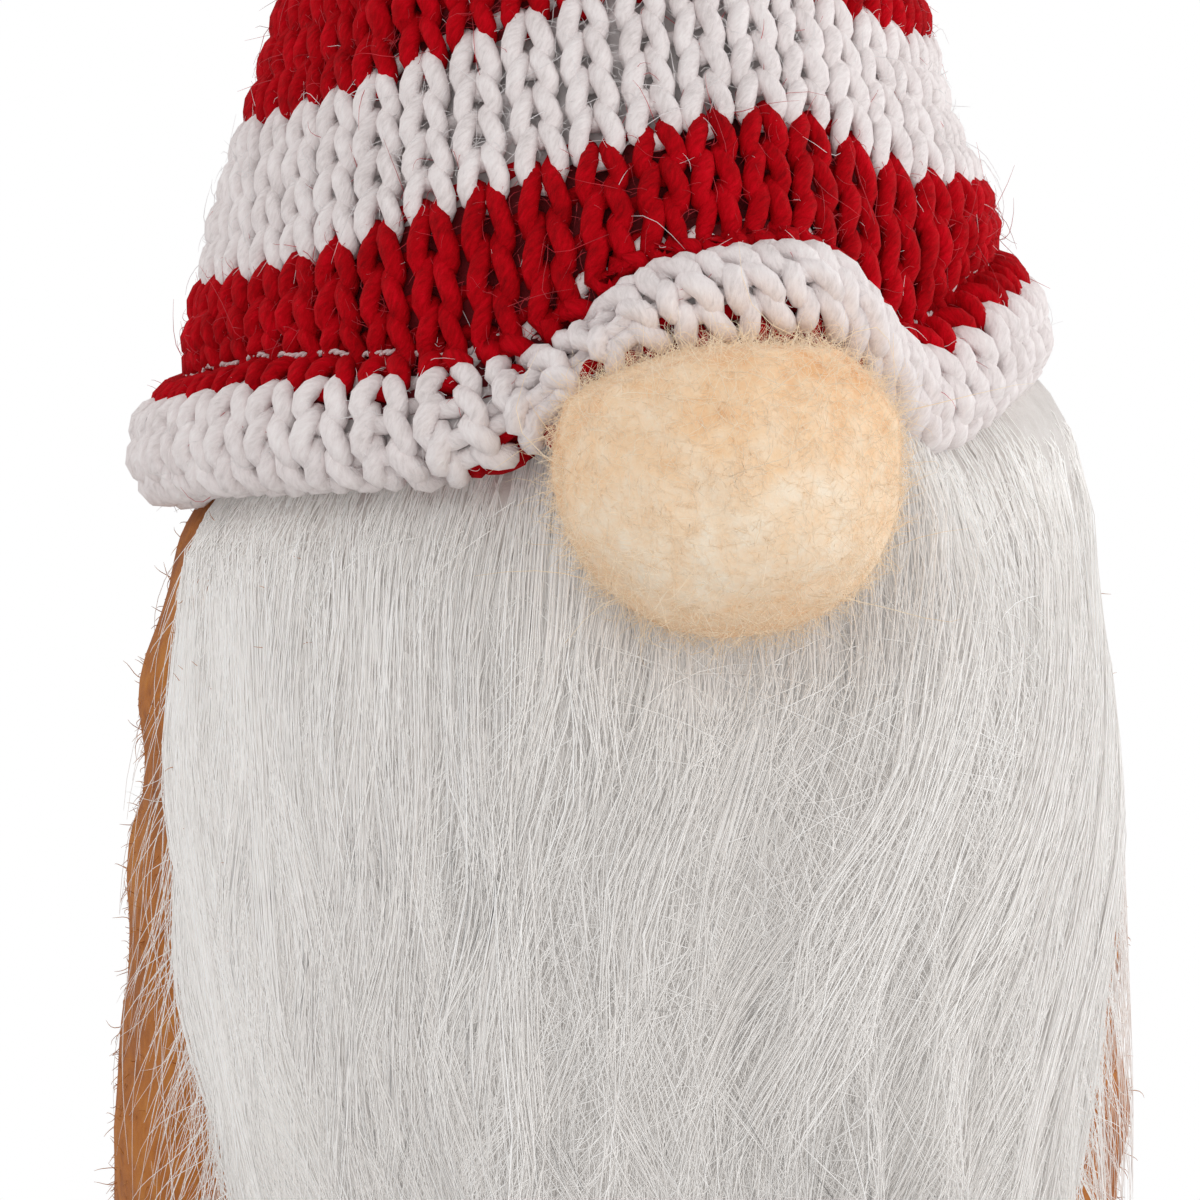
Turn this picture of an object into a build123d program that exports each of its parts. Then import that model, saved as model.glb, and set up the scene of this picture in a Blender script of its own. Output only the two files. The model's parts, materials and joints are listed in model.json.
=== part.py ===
"""Tomte gnome figurine: a weighted fleece body, a long faux-fur beard, a stuffed felt nose and a striped knitted
hat that stands on stuffing and a bendable wire.

Millimetres. +Z is up, the figure faces -Y, and the origin is the middle of the flat base, on the table.
Angles round the figure are measured from the front (-Y) towards +X.
"""

import os
from math import cos, exp, hypot, radians, sin, tan

from build123d import *

os.makedirs("parts", exist_ok=True)

# ---- body ----
FLEECE = 1.2  # thickness of the body cloth
GAP = 0.1  # room between neighbouring soft pieces
BODY_PROFILE = [  # (radius, height) of the outside of the cover, from the table up to the gathered neck
    (22.0, 0.0), (24.2, 4.0), (24.9, 14.0), (24.9, 28.0), (24.3, 42.0), (23.4, 50.0), (22.4, 54.0),
    (20.5, 57.3), (17.9, 60.0), (16.0, 63.0), (14.6, 67.0), (11.6, 72.0), (7.0, 76.0), (2.9, 77.6),
]
NECK_R = 2.9
NECK_TOP = 81.0  # top of the gathered tuft of cover
NECK_HOLE_R = 0.8  # what the gathering leaves open
NECK_TIE_Z = 79.3
BODY_STUFFING_TOP = 74.5
BOARD_T = 1.5
BOARD_EDGE = 0.3
POUCH_R = 19.0
POUCH_H = 13.0
POUCH_T = 0.5
POUCH_CORNER = 5.5
THREAD_R = 0.2
THREAD_ROOM_R = 0.3  # the groove that a thread pulls into the cloth
TIE_R = 0.3
BASE_SEAM_R, BASE_SEAM_Z = 23.2, 2.0
BODY_SEAM_Z = (4.0, 56.0)

# ---- beard ----
BACKING_T = 0.8  # knitted backing of the faux fur
GLUE_T = 0.4
BACKING_HALF_ANGLE = 66.0
BACKING_Z = (39.0, 63.0)
GLUE_HALF_ANGLE = 52.0
GLUE_Z = (48.0, 56.0)
PILE_NEAR = 1.6  # from the body cover to the back of the pile
PILE_PROUD = 2.7  # how far the pile stands off the body at the sides
PILE_FORWARD = 2.4  # and further off at the front
PILE_Z = (2.0, 66.0)
BEARD_OUTLINE = [  # (x, z) of the beard seen from the front
    (-21.6, 70.0), (-23.2, 38.0), (-20.5, 20.0), (-11.0, 5.5), (0.0, 2.5), (10.5, 6.0), (19.0, 20.0),
    (22.6, 38.0), (22.2, 70.0),
]

# ---- nose ----
NOSE_R = 7.8
NOSE_Y, NOSE_Z = -28.2, 58.2
NOSE_BACK = 3.4  # from the nose's centre back to where it is pressed flat
NOSE_CLOTH = 0.9
NOSE_NECK_R = 1.9
NOSE_NECK_L = 1.4
NOSE_GLUE_R = 2.6

# ---- hat ----
KNIT = 1.8  # thickness of the knitted cloth
HAT_X, HAT_Y = -1.6, 0.3  # the hat's axis stands a little beside the body's
HAT_PROFILE = [  # (radius, height) of the outside of the hat, from inside the brim to the tip
    (20.9, 56.0), (20.8, 62.0), (20.4, 68.0), (19.4, 72.0), (17.8, 78.5), (14.0, 92.0), (9.8, 106.8),
    (5.6, 121.5), (3.0, 131.0), (1.2, 137.5),
]
HAT_INSIDE_Z = (52.0, 128.0)
BRIM_R = 20.6  # centre line of the rolled brim
BRIM_ROLL_R = 2.3
ROLL_ROOM = 0.4  # upright room between the sloping roll and the cloth above and below it
BRIM_Z = 62.2
BRIM_TILT = 2.8  # the brim is this much higher at +X, and lower at -X
ARCH_RISE = 4.9  # the brim arches over the nose
ARCH_AT, ARCH_WIDTH = 3.0, 28.0
PUSH = 3.2  # the front of the hat stands forward over the nose
PUSH_Z = (62.0, 84.0)
HEM_ABOVE_ROLL = 4.1  # height of the sewn hem line above the roll's centre line
HEM_THREAD_R = 0.14
HEM_PROUD = 0.5  # from the knit to the middle of the hem thread
HAT_SEAM_Z = (72.0, 134.0)
SEAM_PROUD = 0.45
TIP_TIE_Z = 135.0
HAT_GLUE_R = 0.35
HAT_GLUE_IN = 3.05  # from the roll's centre line in to the glue bead

# ---- the bend in the hat ----
BEND_Z = 110.0
BEND_LIMIT = 35.0  # degrees each way
BEND_GAP = 0.3
WIRE_R = 0.6
WIRE_ROOM_R = 0.65
WIRE_LOOP_R = 5.0
WIRE_LOOP_Z = 82.2
WIRE_TOP = 126.0
WIRE_END_GAP = 0.8  # from the bend's axis to each end of the wire
HAT_STUFFING_Z = (83.4, 126.8)

FAR = 60.0  # larger than any half width of the figure


# ================= curves that several pieces share =================
def direction(angle):
    """(x, y) of the unit vector at an angle from the front towards +X."""
    return sin(radians(angle)), -cos(radians(angle))


def inset(profile, depth):
    """A profile's points moved towards the inside, square to the curve."""
    moved = []
    for i, (r, z) in enumerate(profile):
        r0, z0 = profile[max(i - 1, 0)]
        r1, z1 = profile[min(i + 1, len(profile) - 1)]
        run, rise = r1 - r0, z1 - z0
        moved.append((r - depth * rise / hypot(run, rise), z + depth * run / hypot(run, rise)))
    return moved


def radius_at(profile, height):
    """Radius of a profile at a height, along straight lines between its points."""
    for (r0, z0), (r1, z1) in zip(profile, profile[1:]):
        if z0 <= height <= z1:
            return r0 + (r1 - r0) * (height - z0) / (z1 - z0)
    return profile[0][0]


def cut_off(profile, low, high):
    """The part of a profile between two heights, with its ends exactly there."""
    between = [(r, z) for r, z in profile if low + 0.5 < z < high - 0.5]
    return [(radius_at(profile, low), low), *between, (radius_at(profile, high), high)]


def push_at(height):
    """How far the front of the hat stands forward at a height."""
    low, high = PUSH_Z
    up = min(max((height - low) / (high - low), 0.0), 1.0)
    return PUSH * (1 - up * up * (3 - 2 * up))


def hat_point(angle, radius, height):
    """(x, y) on the hat at an angle and a radius."""
    dx, dy = direction(angle)
    forward = push_at(height) * max(-dy, 0.0) ** 2
    return HAT_X + radius * dx, HAT_Y + radius * dy - forward


def brim_height(angle):
    """Height of the roll's centre line: tilted, and arched over the nose."""
    from_arch = (angle - ARCH_AT + 180) % 360 - 180
    return BRIM_Z + BRIM_TILT * sin(radians(angle)) + ARCH_RISE * exp(-((from_arch / ARCH_WIDTH) ** 2))


def roll_point(angle, inwards=0.0):
    """A point on the roll's centre line, or further in."""
    height = brim_height(angle)
    return (*hat_point(angle, BRIM_R - inwards, PUSH_Z[0]), height)


def hem_point(angle):
    """A point on the hem thread, just proud of the knit."""
    height = brim_height(angle) + HEM_ABOVE_ROLL
    return (*hat_point(angle, radius_at(HAT_PROFILE, height) + HEM_PROUD, height), height)


# ================= kinds of solid that several pieces share =================
def turned(profile):
    """A solid of revolution inside a (radius, height) profile, about the figure's upright line."""
    with BuildPart() as solid:
        with BuildSketch(Plane.XZ):
            with BuildLine():
                curve = Spline(*profile)
                Polyline(curve @ 1, (0, profile[-1][1]), (0, profile[0][1]), curve @ 0)
            make_face()
        revolve(axis=Axis.Z)
    return solid.part


def turned_band(near, far, heights, half_angle):
    """A strip of cloth round the front of the body, from near to far outside the cover."""
    with BuildPart() as band:
        with BuildSketch(Plane.XZ):
            with BuildLine():
                inside = Spline(*cut_off(inset(BODY_PROFILE, -near), *heights))
                outside = Spline(*cut_off(inset(BODY_PROFILE, -far), *heights))
                Line(inside @ 0, outside @ 0)
                Line(inside @ 1, outside @ 1)
            make_face()
        revolve(axis=Axis.Z, revolution_arc=2 * half_angle)
    return band.part.rotate(Axis.Z, -90 - half_angle)


def nose_ball(depth):
    """The ball of the nose, pressed flat behind, at a depth inside its surface."""
    with BuildPart() as ball:
        with Locations((0, NOSE_Y, NOSE_Z)):
            Sphere(NOSE_R - depth)
        with Locations((0, NOSE_Y + NOSE_BACK - depth, NOSE_Z)):
            Box(FAR, FAR, FAR, align=(Align.CENTER, Align.MIN, Align.CENTER), mode=Mode.SUBTRACT)
    return ball.part


def hat_solid(profile):
    """Everything inside a hat profile, standing forward over the nose."""
    with BuildPart() as solid:
        for radius, height in profile:
            with BuildSketch(Plane.XY.offset(height)):
                with BuildLine():
                    Spline(*[hat_point(a, radius, height) for a in range(0, 360, 30)], periodic=True)
                make_face()
        loft(ruled=True)
    return solid.part


def ring_along(point, radius):
    """A round cord along a closed line, as a front half and a back half that meet at the sides."""
    halves = []
    for start in (-90, 90):
        with BuildPart() as half:
            for angle in range(start, start + 181, 15):
                before, after = Vector(*point(angle - 1)), Vector(*point(angle + 1))
                along = (after - before).normalized()
                across = Vector(0, 0, 1).cross(along)
                with BuildSketch(Plane(origin=point(angle), x_dir=across, z_dir=along)):
                    Circle(radius)
            loft()
        halves.append(half.part)
    return halves[0] + halves[1]


def thread_along(points, radius):
    """A thread through points."""
    with BuildPart() as thread:
        with BuildLine() as path:
            Spline(*points)
        with BuildSketch(Plane(origin=path.line @ 0, z_dir=path.line % 0)):
            Circle(radius)
        sweep(path=path.line)
    return thread.part


def below_brim(front, above):
    """Everything lower than a line above the roll's centre line, over the front half or the back half."""
    angles = range(-90, 91, 12) if front else range(270, 89, -12)
    edge = []
    for angle in angles:
        x, _, z = roll_point(angle)
        edge.append((x, z + above))
    with BuildPart() as under:
        with BuildSketch(Plane.XZ):
            with BuildLine():
                curve = Spline(*edge)
                right, left = edge[-1][1], edge[0][1]
                Polyline(curve @ 1, (FAR, right), (FAR, -FAR), (-FAR, -FAR), (-FAR, left), curve @ 0)
            make_face()
        extrude(amount=FAR if front else -FAR)
    return under.part


def beyond_bend(side):
    """All on one side of the bend, and the wedges that the other half needs as it tips either way."""
    reach = FAR * tan(radians(BEND_LIMIT / 2)) + BEND_GAP
    with BuildPart() as room:
        with BuildSketch(Plane.XZ):
            with BuildLine():
                Polyline(
                    (HAT_X, BEND_Z - side * BEND_GAP),
                    (HAT_X + FAR, BEND_Z - side * reach),
                    (HAT_X + FAR, BEND_Z + side * FAR),
                    (HAT_X - FAR, BEND_Z + side * FAR),
                    (HAT_X - FAR, BEND_Z - side * reach),
                    close=True,
                )
            make_face()
        extrude(amount=FAR, both=True)
    return room.part


UP = (Align.CENTER, Align.CENTER, Align.MIN)
DOWN = (Align.CENTER, Align.CENTER, Align.MAX)

# ================= body =================
inner_profile = inset(BODY_PROFILE, FLEECE)
inner_profile[0] = (BODY_PROFILE[0][0] - FLEECE, -FLEECE)
inner_profile[-1] = (NECK_R / 2, inner_profile[-1][1] - FLEECE / 3)
back_line = [(0, r, z) for r, z in cut_off(BODY_PROFILE, *BODY_SEAM_Z)]
outer_body = turned(BODY_PROFILE)
inner_body = turned(inner_profile)
back_groove = thread_along(back_line, THREAD_ROOM_R)

with BuildPart() as body_cover:
    add(outer_body)
    with Locations((0, 0, NECK_TOP)):
        Cylinder(NECK_R, NECK_TOP - BODY_STUFFING_TOP, align=DOWN)
    add(inner_body, mode=Mode.SUBTRACT)
    with Locations((0, 0, NECK_TOP)):
        Cylinder(NECK_HOLE_R, NECK_TOP - BODY_STUFFING_TOP, align=DOWN, mode=Mode.SUBTRACT)
    with Locations((0, 0, BASE_SEAM_Z)):
        Torus(BASE_SEAM_R, THREAD_ROOM_R, mode=Mode.SUBTRACT)
    add(back_groove, mode=Mode.SUBTRACT)

with BuildPart() as base_panel:
    Cylinder(BODY_PROFILE[0][0] - FLEECE - GAP, FLEECE, align=UP)

with BuildPart() as base_board:
    with Locations((0, 0, FLEECE + GAP)):
        Cylinder(BODY_PROFILE[0][0] - 2 * FLEECE, BOARD_T, align=UP)
    chamfer(base_board.edges(), BOARD_EDGE)

with BuildPart() as base_seam_thread:
    with Locations((0, 0, BASE_SEAM_Z)):
        Torus(BASE_SEAM_R, THREAD_R)

bag_floor = FLEECE + 2 * GAP + BOARD_T
with BuildPart() as weight_pouch:
    with Locations((0, 0, bag_floor)):
        Cylinder(POUCH_R, POUCH_H, align=UP)
    fillet(weight_pouch.edges(), POUCH_CORNER)
    offset(amount=-POUCH_T, mode=Mode.SUBTRACT)

with BuildPart() as weight_fill:
    with Locations((0, 0, bag_floor + POUCH_T + GAP)):
        Cylinder(POUCH_R - POUCH_T - GAP, POUCH_H - 2 * (POUCH_T + GAP), align=UP)
    fillet(weight_fill.edges(), POUCH_CORNER - POUCH_T)

stuffing_floor = bag_floor + POUCH_H + 2 * GAP
stuffing_profile = cut_off(inset(BODY_PROFILE, FLEECE + GAP), stuffing_floor, BODY_STUFFING_TOP)
body_stuffing_solid = turned(stuffing_profile)
with BuildPart() as body_stuffing:
    add(body_stuffing_solid)

with BuildPart() as neck_tie_thread:
    with Locations((0, 0, NECK_TIE_Z)):
        Torus(NECK_R + TIE_R + GAP / 2, TIE_R)

body_seam_solid = thread_along(back_line, THREAD_R)
with BuildPart() as body_seam_thread:
    add(body_seam_solid)

# ================= beard =================
backing_near = GLUE_T + GAP / 2
under_brim_front = below_brim(True, -BRIM_ROLL_R - ROLL_ROOM)
backing_solid = turned_band(backing_near, backing_near + BACKING_T, BACKING_Z, BACKING_HALF_ANGLE)
glue_solid = turned_band(GAP / 4, GLUE_T, GLUE_Z, GLUE_HALF_ANGLE)
pile_outer = turned(cut_off(inset(BODY_PROFILE, -PILE_PROUD), *PILE_Z)).moved(Location((0, -PILE_FORWARD, 0)))
pile_inner = turned(cut_off(inset(BODY_PROFILE, -PILE_NEAR), PILE_Z[0] - 1, PILE_Z[1] + 1))

with BuildPart() as beard_backing:
    add(backing_solid)
    add(under_brim_front, mode=Mode.INTERSECT)

with BuildPart() as beard_glue:
    add(glue_solid)
    add(outer_body, mode=Mode.SUBTRACT)

with BuildPart() as beard_pile:
    with BuildSketch(Plane.XZ):
        with BuildLine():
            edge = Spline(*BEARD_OUTLINE)
            Line(edge @ 1, edge @ 0)
        make_face()
    extrude(amount=FAR)
    add(pile_outer, mode=Mode.INTERSECT)
    add(under_brim_front, mode=Mode.INTERSECT)
    add(pile_inner, mode=Mode.SUBTRACT)
    with Locations((0, NOSE_Y, NOSE_Z)):
        Sphere(NOSE_R + 2 * GAP, mode=Mode.SUBTRACT)
        Cylinder(NOSE_GLUE_R + GAP, 2 * NOSE_R, rotation=(90, 0, 0), align=DOWN, mode=Mode.SUBTRACT)

# ================= nose =================
nose_back_y = NOSE_Y + NOSE_BACK
nose_outside = nose_ball(0)
nose_hollow = nose_ball(NOSE_CLOTH)
nose_filling = nose_ball(NOSE_CLOTH + GAP)

with BuildPart() as nose_cover:
    add(nose_outside)
    with Locations((0, nose_back_y, NOSE_Z)):
        Cylinder(NOSE_NECK_R, NOSE_NECK_L, rotation=(-90, 0, 0), align=UP)
    add(nose_hollow, mode=Mode.SUBTRACT)

with BuildPart() as nose_stuffing:
    add(nose_filling)

with BuildPart() as nose_tie_thread:
    with Locations((0, nose_back_y + NOSE_NECK_L / 2, NOSE_Z)):
        Torus(NOSE_NECK_R + THREAD_R + GAP / 2, THREAD_R, rotation=(90, 0, 0))

backing_outside = turned(inset(BODY_PROFILE, -backing_near - BACKING_T - GAP / 2))
with BuildPart() as nose_glue:
    with Locations((0, nose_back_y + NOSE_NECK_L + GAP / 2, NOSE_Z)):
        Cylinder(NOSE_GLUE_R, NOSE_R, rotation=(-90, 0, 0), align=UP)
    add(backing_outside, mode=Mode.SUBTRACT)

# ================= hat =================
room_above, room_below = beyond_bend(1), beyond_bend(-1)
hat_outer = hat_solid(HAT_PROFILE)
hat_inner = hat_solid(cut_off(inset(HAT_PROFILE, KNIT), *HAT_INSIDE_Z))
hat_fill = hat_solid(cut_off(inset(HAT_PROFILE, KNIT + GAP), *HAT_STUFFING_Z))
brim_top_front = below_brim(True, BRIM_ROLL_R + ROLL_ROOM)
brim_top_back = below_brim(False, BRIM_ROLL_R + ROLL_ROOM)
roll_solid = ring_along(roll_point, BRIM_ROLL_R)
hem_solid = ring_along(hem_point, HEM_THREAD_R)
hat_glue_solid = ring_along(lambda angle: roll_point(angle, HAT_GLUE_IN), HAT_GLUE_R)

with BuildPart() as hat_brim_roll:
    add(roll_solid)

with BuildPart() as hat_knit_lower:
    add(hat_outer)
    add(hat_inner, mode=Mode.SUBTRACT)
    add(brim_top_front, mode=Mode.SUBTRACT)
    add(brim_top_back, mode=Mode.SUBTRACT)
    add(room_above, mode=Mode.SUBTRACT)

with BuildPart() as hat_knit_upper:
    add(hat_outer)
    add(hat_inner, mode=Mode.SUBTRACT)
    add(room_below, mode=Mode.SUBTRACT)

with BuildPart() as hat_hem_thread:
    add(hem_solid)

with BuildPart() as hat_glue:
    add(hat_glue_solid)

seam_ends = {"lower": (HAT_SEAM_Z[0], BEND_Z - 2 * BEND_GAP), "upper": (BEND_Z + 2 * BEND_GAP, HAT_SEAM_Z[1])}
seam_solids = {}
for half, ends in seam_ends.items():
    seam_line = cut_off(inset(HAT_PROFILE, -SEAM_PROUD), *ends)
    seam_solids[half] = thread_along([(HAT_X, HAT_Y + r, z) for r, z in seam_line], THREAD_R)

with BuildPart() as hat_seam_lower:
    add(seam_solids["lower"])

with BuildPart() as hat_seam_upper:
    add(seam_solids["upper"])

with BuildPart() as hat_tip_thread:
    with Locations((HAT_X, HAT_Y, TIP_TIE_Z)):
        Torus(radius_at(HAT_PROFILE, TIP_TIE_Z) + TIE_R + 2 * GAP, TIE_R)

with BuildPart() as hat_wire_lower:
    with Locations((HAT_X, HAT_Y, WIRE_LOOP_Z)):
        Cylinder(WIRE_R, BEND_Z - WIRE_END_GAP - WIRE_LOOP_Z, align=UP)
        Torus(WIRE_LOOP_R, WIRE_R)
        Cylinder(WIRE_R, WIRE_LOOP_R, rotation=(0, 90, 0), align=UP)

with BuildPart() as hat_wire_upper:
    with Locations((HAT_X, HAT_Y, BEND_Z + WIRE_END_GAP)):
        Cylinder(WIRE_R, WIRE_TOP - BEND_Z - WIRE_END_GAP, align=UP)
    fillet(hat_wire_upper.edges().group_by(Axis.Z)[-1], WIRE_R - GAP)

with BuildPart() as hat_stuffing_lower:
    add(hat_fill)
    add(room_above, mode=Mode.SUBTRACT)
    with Locations((HAT_X, HAT_Y, BEND_Z)):
        Cylinder(WIRE_ROOM_R, FAR, align=DOWN, mode=Mode.SUBTRACT)

with BuildPart() as hat_stuffing_upper:
    add(hat_fill)
    add(room_below, mode=Mode.SUBTRACT)
    with Locations((HAT_X, HAT_Y, BEND_Z)):
        Cylinder(WIRE_ROOM_R, WIRE_TOP + GAP - BEND_Z, align=UP, mode=Mode.SUBTRACT)

# ================= hand over =================
PIECES = {
    "body_cover": body_cover,
    "base_panel": base_panel,
    "base_board": base_board,
    "base_seam_thread": base_seam_thread,
    "body_seam_thread": body_seam_thread,
    "weight_pouch": weight_pouch,
    "weight_fill": weight_fill,
    "body_stuffing": body_stuffing,
    "neck_tie_thread": neck_tie_thread,
    "beard_backing": beard_backing,
    "beard_pile": beard_pile,
    "beard_glue": beard_glue,
    "nose_cover": nose_cover,
    "nose_stuffing": nose_stuffing,
    "nose_tie_thread": nose_tie_thread,
    "nose_glue": nose_glue,
    "hat_brim_roll": hat_brim_roll,
    "hat_knit_lower": hat_knit_lower,
    "hat_knit_upper": hat_knit_upper,
    "hat_hem_thread": hat_hem_thread,
    "hat_seam_lower": hat_seam_lower,
    "hat_seam_upper": hat_seam_upper,
    "hat_tip_thread": hat_tip_thread,
    "hat_stuffing_lower": hat_stuffing_lower,
    "hat_stuffing_upper": hat_stuffing_upper,
    "hat_wire_lower": hat_wire_lower,
    "hat_wire_upper": hat_wire_upper,
    "hat_glue": hat_glue,
}
for name, piece in PIECES.items():
    piece.part.label = name
    export_step(piece.part, f"parts/{name}.step")
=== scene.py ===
"""Looks of the tomte gnome figurine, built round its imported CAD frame.

Lengths are in millimetres until a mesh is made. Angles round the figure are in degrees from the front (-Y)
towards +X. Every yarn, thread and fibre is a closed tube of its own.
"""

import json
import math

import bmesh
import bpy
import numpy as np
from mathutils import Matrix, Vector


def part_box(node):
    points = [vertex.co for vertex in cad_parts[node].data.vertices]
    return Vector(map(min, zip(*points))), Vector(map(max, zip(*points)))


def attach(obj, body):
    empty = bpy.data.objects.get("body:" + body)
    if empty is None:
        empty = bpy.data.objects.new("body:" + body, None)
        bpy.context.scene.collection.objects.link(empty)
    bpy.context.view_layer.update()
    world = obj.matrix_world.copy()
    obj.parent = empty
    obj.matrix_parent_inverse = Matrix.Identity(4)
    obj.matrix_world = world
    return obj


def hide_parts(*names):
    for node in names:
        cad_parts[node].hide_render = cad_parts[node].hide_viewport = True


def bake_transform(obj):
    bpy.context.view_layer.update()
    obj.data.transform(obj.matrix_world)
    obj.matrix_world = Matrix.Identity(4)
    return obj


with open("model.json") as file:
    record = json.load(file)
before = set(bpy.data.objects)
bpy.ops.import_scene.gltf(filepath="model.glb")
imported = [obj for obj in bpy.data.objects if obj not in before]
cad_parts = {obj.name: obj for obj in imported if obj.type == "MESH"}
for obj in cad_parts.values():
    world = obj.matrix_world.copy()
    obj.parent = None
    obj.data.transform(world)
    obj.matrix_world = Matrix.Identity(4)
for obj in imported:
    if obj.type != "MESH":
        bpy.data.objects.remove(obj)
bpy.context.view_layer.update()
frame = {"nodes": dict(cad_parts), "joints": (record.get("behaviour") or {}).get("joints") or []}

MM = 0.001


# ------------------------------------------------------------------ places taken from the frame
def box_mm(node):
    """Lowest and highest corner of a CAD node, in millimetres."""
    low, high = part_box(node)
    return np.array(low) / MM, np.array(high) / MM


HAT_X, HAT_Y, BEND_Z = (c / MM for c in frame["joints"][0]["pos_m"])
BEND_REACH = 7.0  # pieces that come within this distance of the hinge, to either side, ride on neither part

ROLL_R = 2.3
TILT = 2.8  # how far the brim rises to one side and falls to the other
roll_low, roll_high = box_mm("hat_brim_roll")
BRIM_R = (roll_high[0] - roll_low[0]) / 2 - ROLL_R
BRIM_Z = roll_low[2] + ROLL_R + TILT
HEM_UP = 4.1  # the hem thread's height over the roll's centre line
HAT_TOP = box_mm("hat_knit_upper")[1][2]
BODY_TOP = box_mm("body_cover")[1][2]
nose_low, nose_high = box_mm("nose_cover")
NOSE_R = (nose_high[2] - nose_low[2]) / 2
NOSE = np.array([(nose_low[0] + nose_high[0]) / 2, nose_low[1] + NOSE_R, (nose_low[2] + nose_high[2]) / 2])


# ------------------------------------------------------------------ numbers and noise
def smooth(low, high, value):
    """0 below low, 1 above high, with an easy curve between."""
    t = np.clip((value - low) / (high - low), 0.0, 1.0)
    return t * t * (3 - 2 * t)


def eased(points, count=200):
    """A (value, height) outline as a table of a smooth curve through its points, by height."""
    value, height = np.array(points, float).T
    fine = np.linspace(height[0], height[-1], count)
    rough = np.interp(fine, height, value)
    width = max(int(count * 2.5 / (height[-1] - height[0])), 1)
    kernel = np.hanning(2 * width + 3)[1:-1]
    padded = np.concatenate([np.full(width, rough[0]), rough, np.full(width, rough[-1])])
    return fine, np.convolve(padded, kernel / kernel.sum(), "valid")


def waves(points, scale, seed, count=14):
    """Smooth noise of about -1 to 1 at points, with features about scale across."""
    rng = np.random.default_rng(seed)
    total = np.zeros(points.shape[:-1])
    for _ in range(count):
        way = rng.normal(size=points.shape[-1])
        way *= rng.uniform(0.6, 1.6) * 2 * math.pi / scale / np.linalg.norm(way)
        total += np.sin(points @ way + rng.uniform(0, 2 * math.pi))
    return total / math.sqrt(count) * 1.2


def unit(v):
    """Vectors made one long."""
    return v / np.maximum(np.linalg.norm(v, axis=-1, keepdims=True), 1e-9)


def distance_along(path):
    """How far each point of a path is from its start."""
    return np.concatenate([[0], np.cumsum(np.linalg.norm(np.diff(path, axis=0), axis=1))])


# ------------------------------------------------------------------ meshes
def read_table(mesh, kind):
    """A mesh's points ("co") or normals ("normal"), one to a row."""
    data = np.empty(len(mesh.vertices) * 3, np.float32)
    mesh.vertices.foreach_get(kind, data)
    return data.reshape(-1, 3)


def write_points(mesh, points):
    """Moves a mesh's points to places given in millimetres."""
    mesh.vertices.foreach_set("co", (np.asarray(points, float) * MM).astype(np.float32).ravel())


def add_object(name, data):
    """A new object in the scene."""
    obj = bpy.data.objects.new(name, data)
    bpy.context.scene.collection.objects.link(obj)
    return obj


def make_piece(name, verts, quads, caps=None, uv=None, face_slot=None, materials=()):
    """A mesh object from points in millimetres, four-sided faces, end caps and sets of loop coordinates."""
    mesh = bpy.data.meshes.new(name)
    parts = [np.asarray(quads, np.int32)]
    if caps is not None and len(caps):
        parts.append(np.asarray(caps, np.int32))
    loops = np.concatenate([p.ravel() for p in parts])
    sizes = np.concatenate([np.full(len(p), p.shape[1], np.int32) for p in parts])
    starts = np.concatenate([[0], np.cumsum(sizes)[:-1]]).astype(np.int32)
    mesh.vertices.add(len(verts))
    write_points(mesh, verts)
    mesh.loops.add(len(loops))
    mesh.loops.foreach_set("vertex_index", loops)
    mesh.polygons.add(len(sizes))
    mesh.polygons.foreach_set("loop_start", starts)
    mesh.polygons.foreach_set("loop_total", sizes)
    mesh.polygons.foreach_set("use_smooth", np.ones(len(sizes), bool))
    for m in materials:
        mesh.materials.append(m)
    if face_slot is not None:
        full = np.zeros(len(sizes), np.int32)
        full[: len(face_slot)] = face_slot
        mesh.polygons.foreach_set("material_index", full)
    mesh.update(calc_edges=True)
    for layer, data in (uv or {}).items():
        made = mesh.uv_layers.new(name=layer)
        full = np.zeros((len(loops), 2), np.float32)
        full[: len(data)] = data
        made.data.foreach_set("uv", full.ravel())
    return add_object(name, mesh)


def belongs(obj, body, slot, *nodes):
    """The piece rides on a body and stands for CAD nodes, which it hides. slot is not used."""
    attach(obj, body)
    if nodes:
        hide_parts(*nodes)


def sleeve_faces(rows, turns):
    """The numbers of rows by turns points round an upright axis, those of their neighbours, and the faces."""
    index = np.arange(rows * turns).reshape(rows, turns)
    after = np.roll(index, -1, axis=1)
    return index, after, np.stack([index[:-1], after[:-1], after[1:], index[1:]], -1).reshape(-1, 4)


def shell_faces(rows, turns):
    """Faces of an outer and an inner skin of rows by turns points, closed along both ends."""
    index, after, skin = sleeve_faces(rows, turns)
    inner = rows * turns
    low = np.stack([after[0], index[0], index[0] + inner, after[0] + inner], -1)
    high = np.stack([index[-1], after[-1], after[-1] + inner, index[-1] + inner], -1)
    return np.concatenate([skin, skin[:, ::-1] + inner, low, high])


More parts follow.
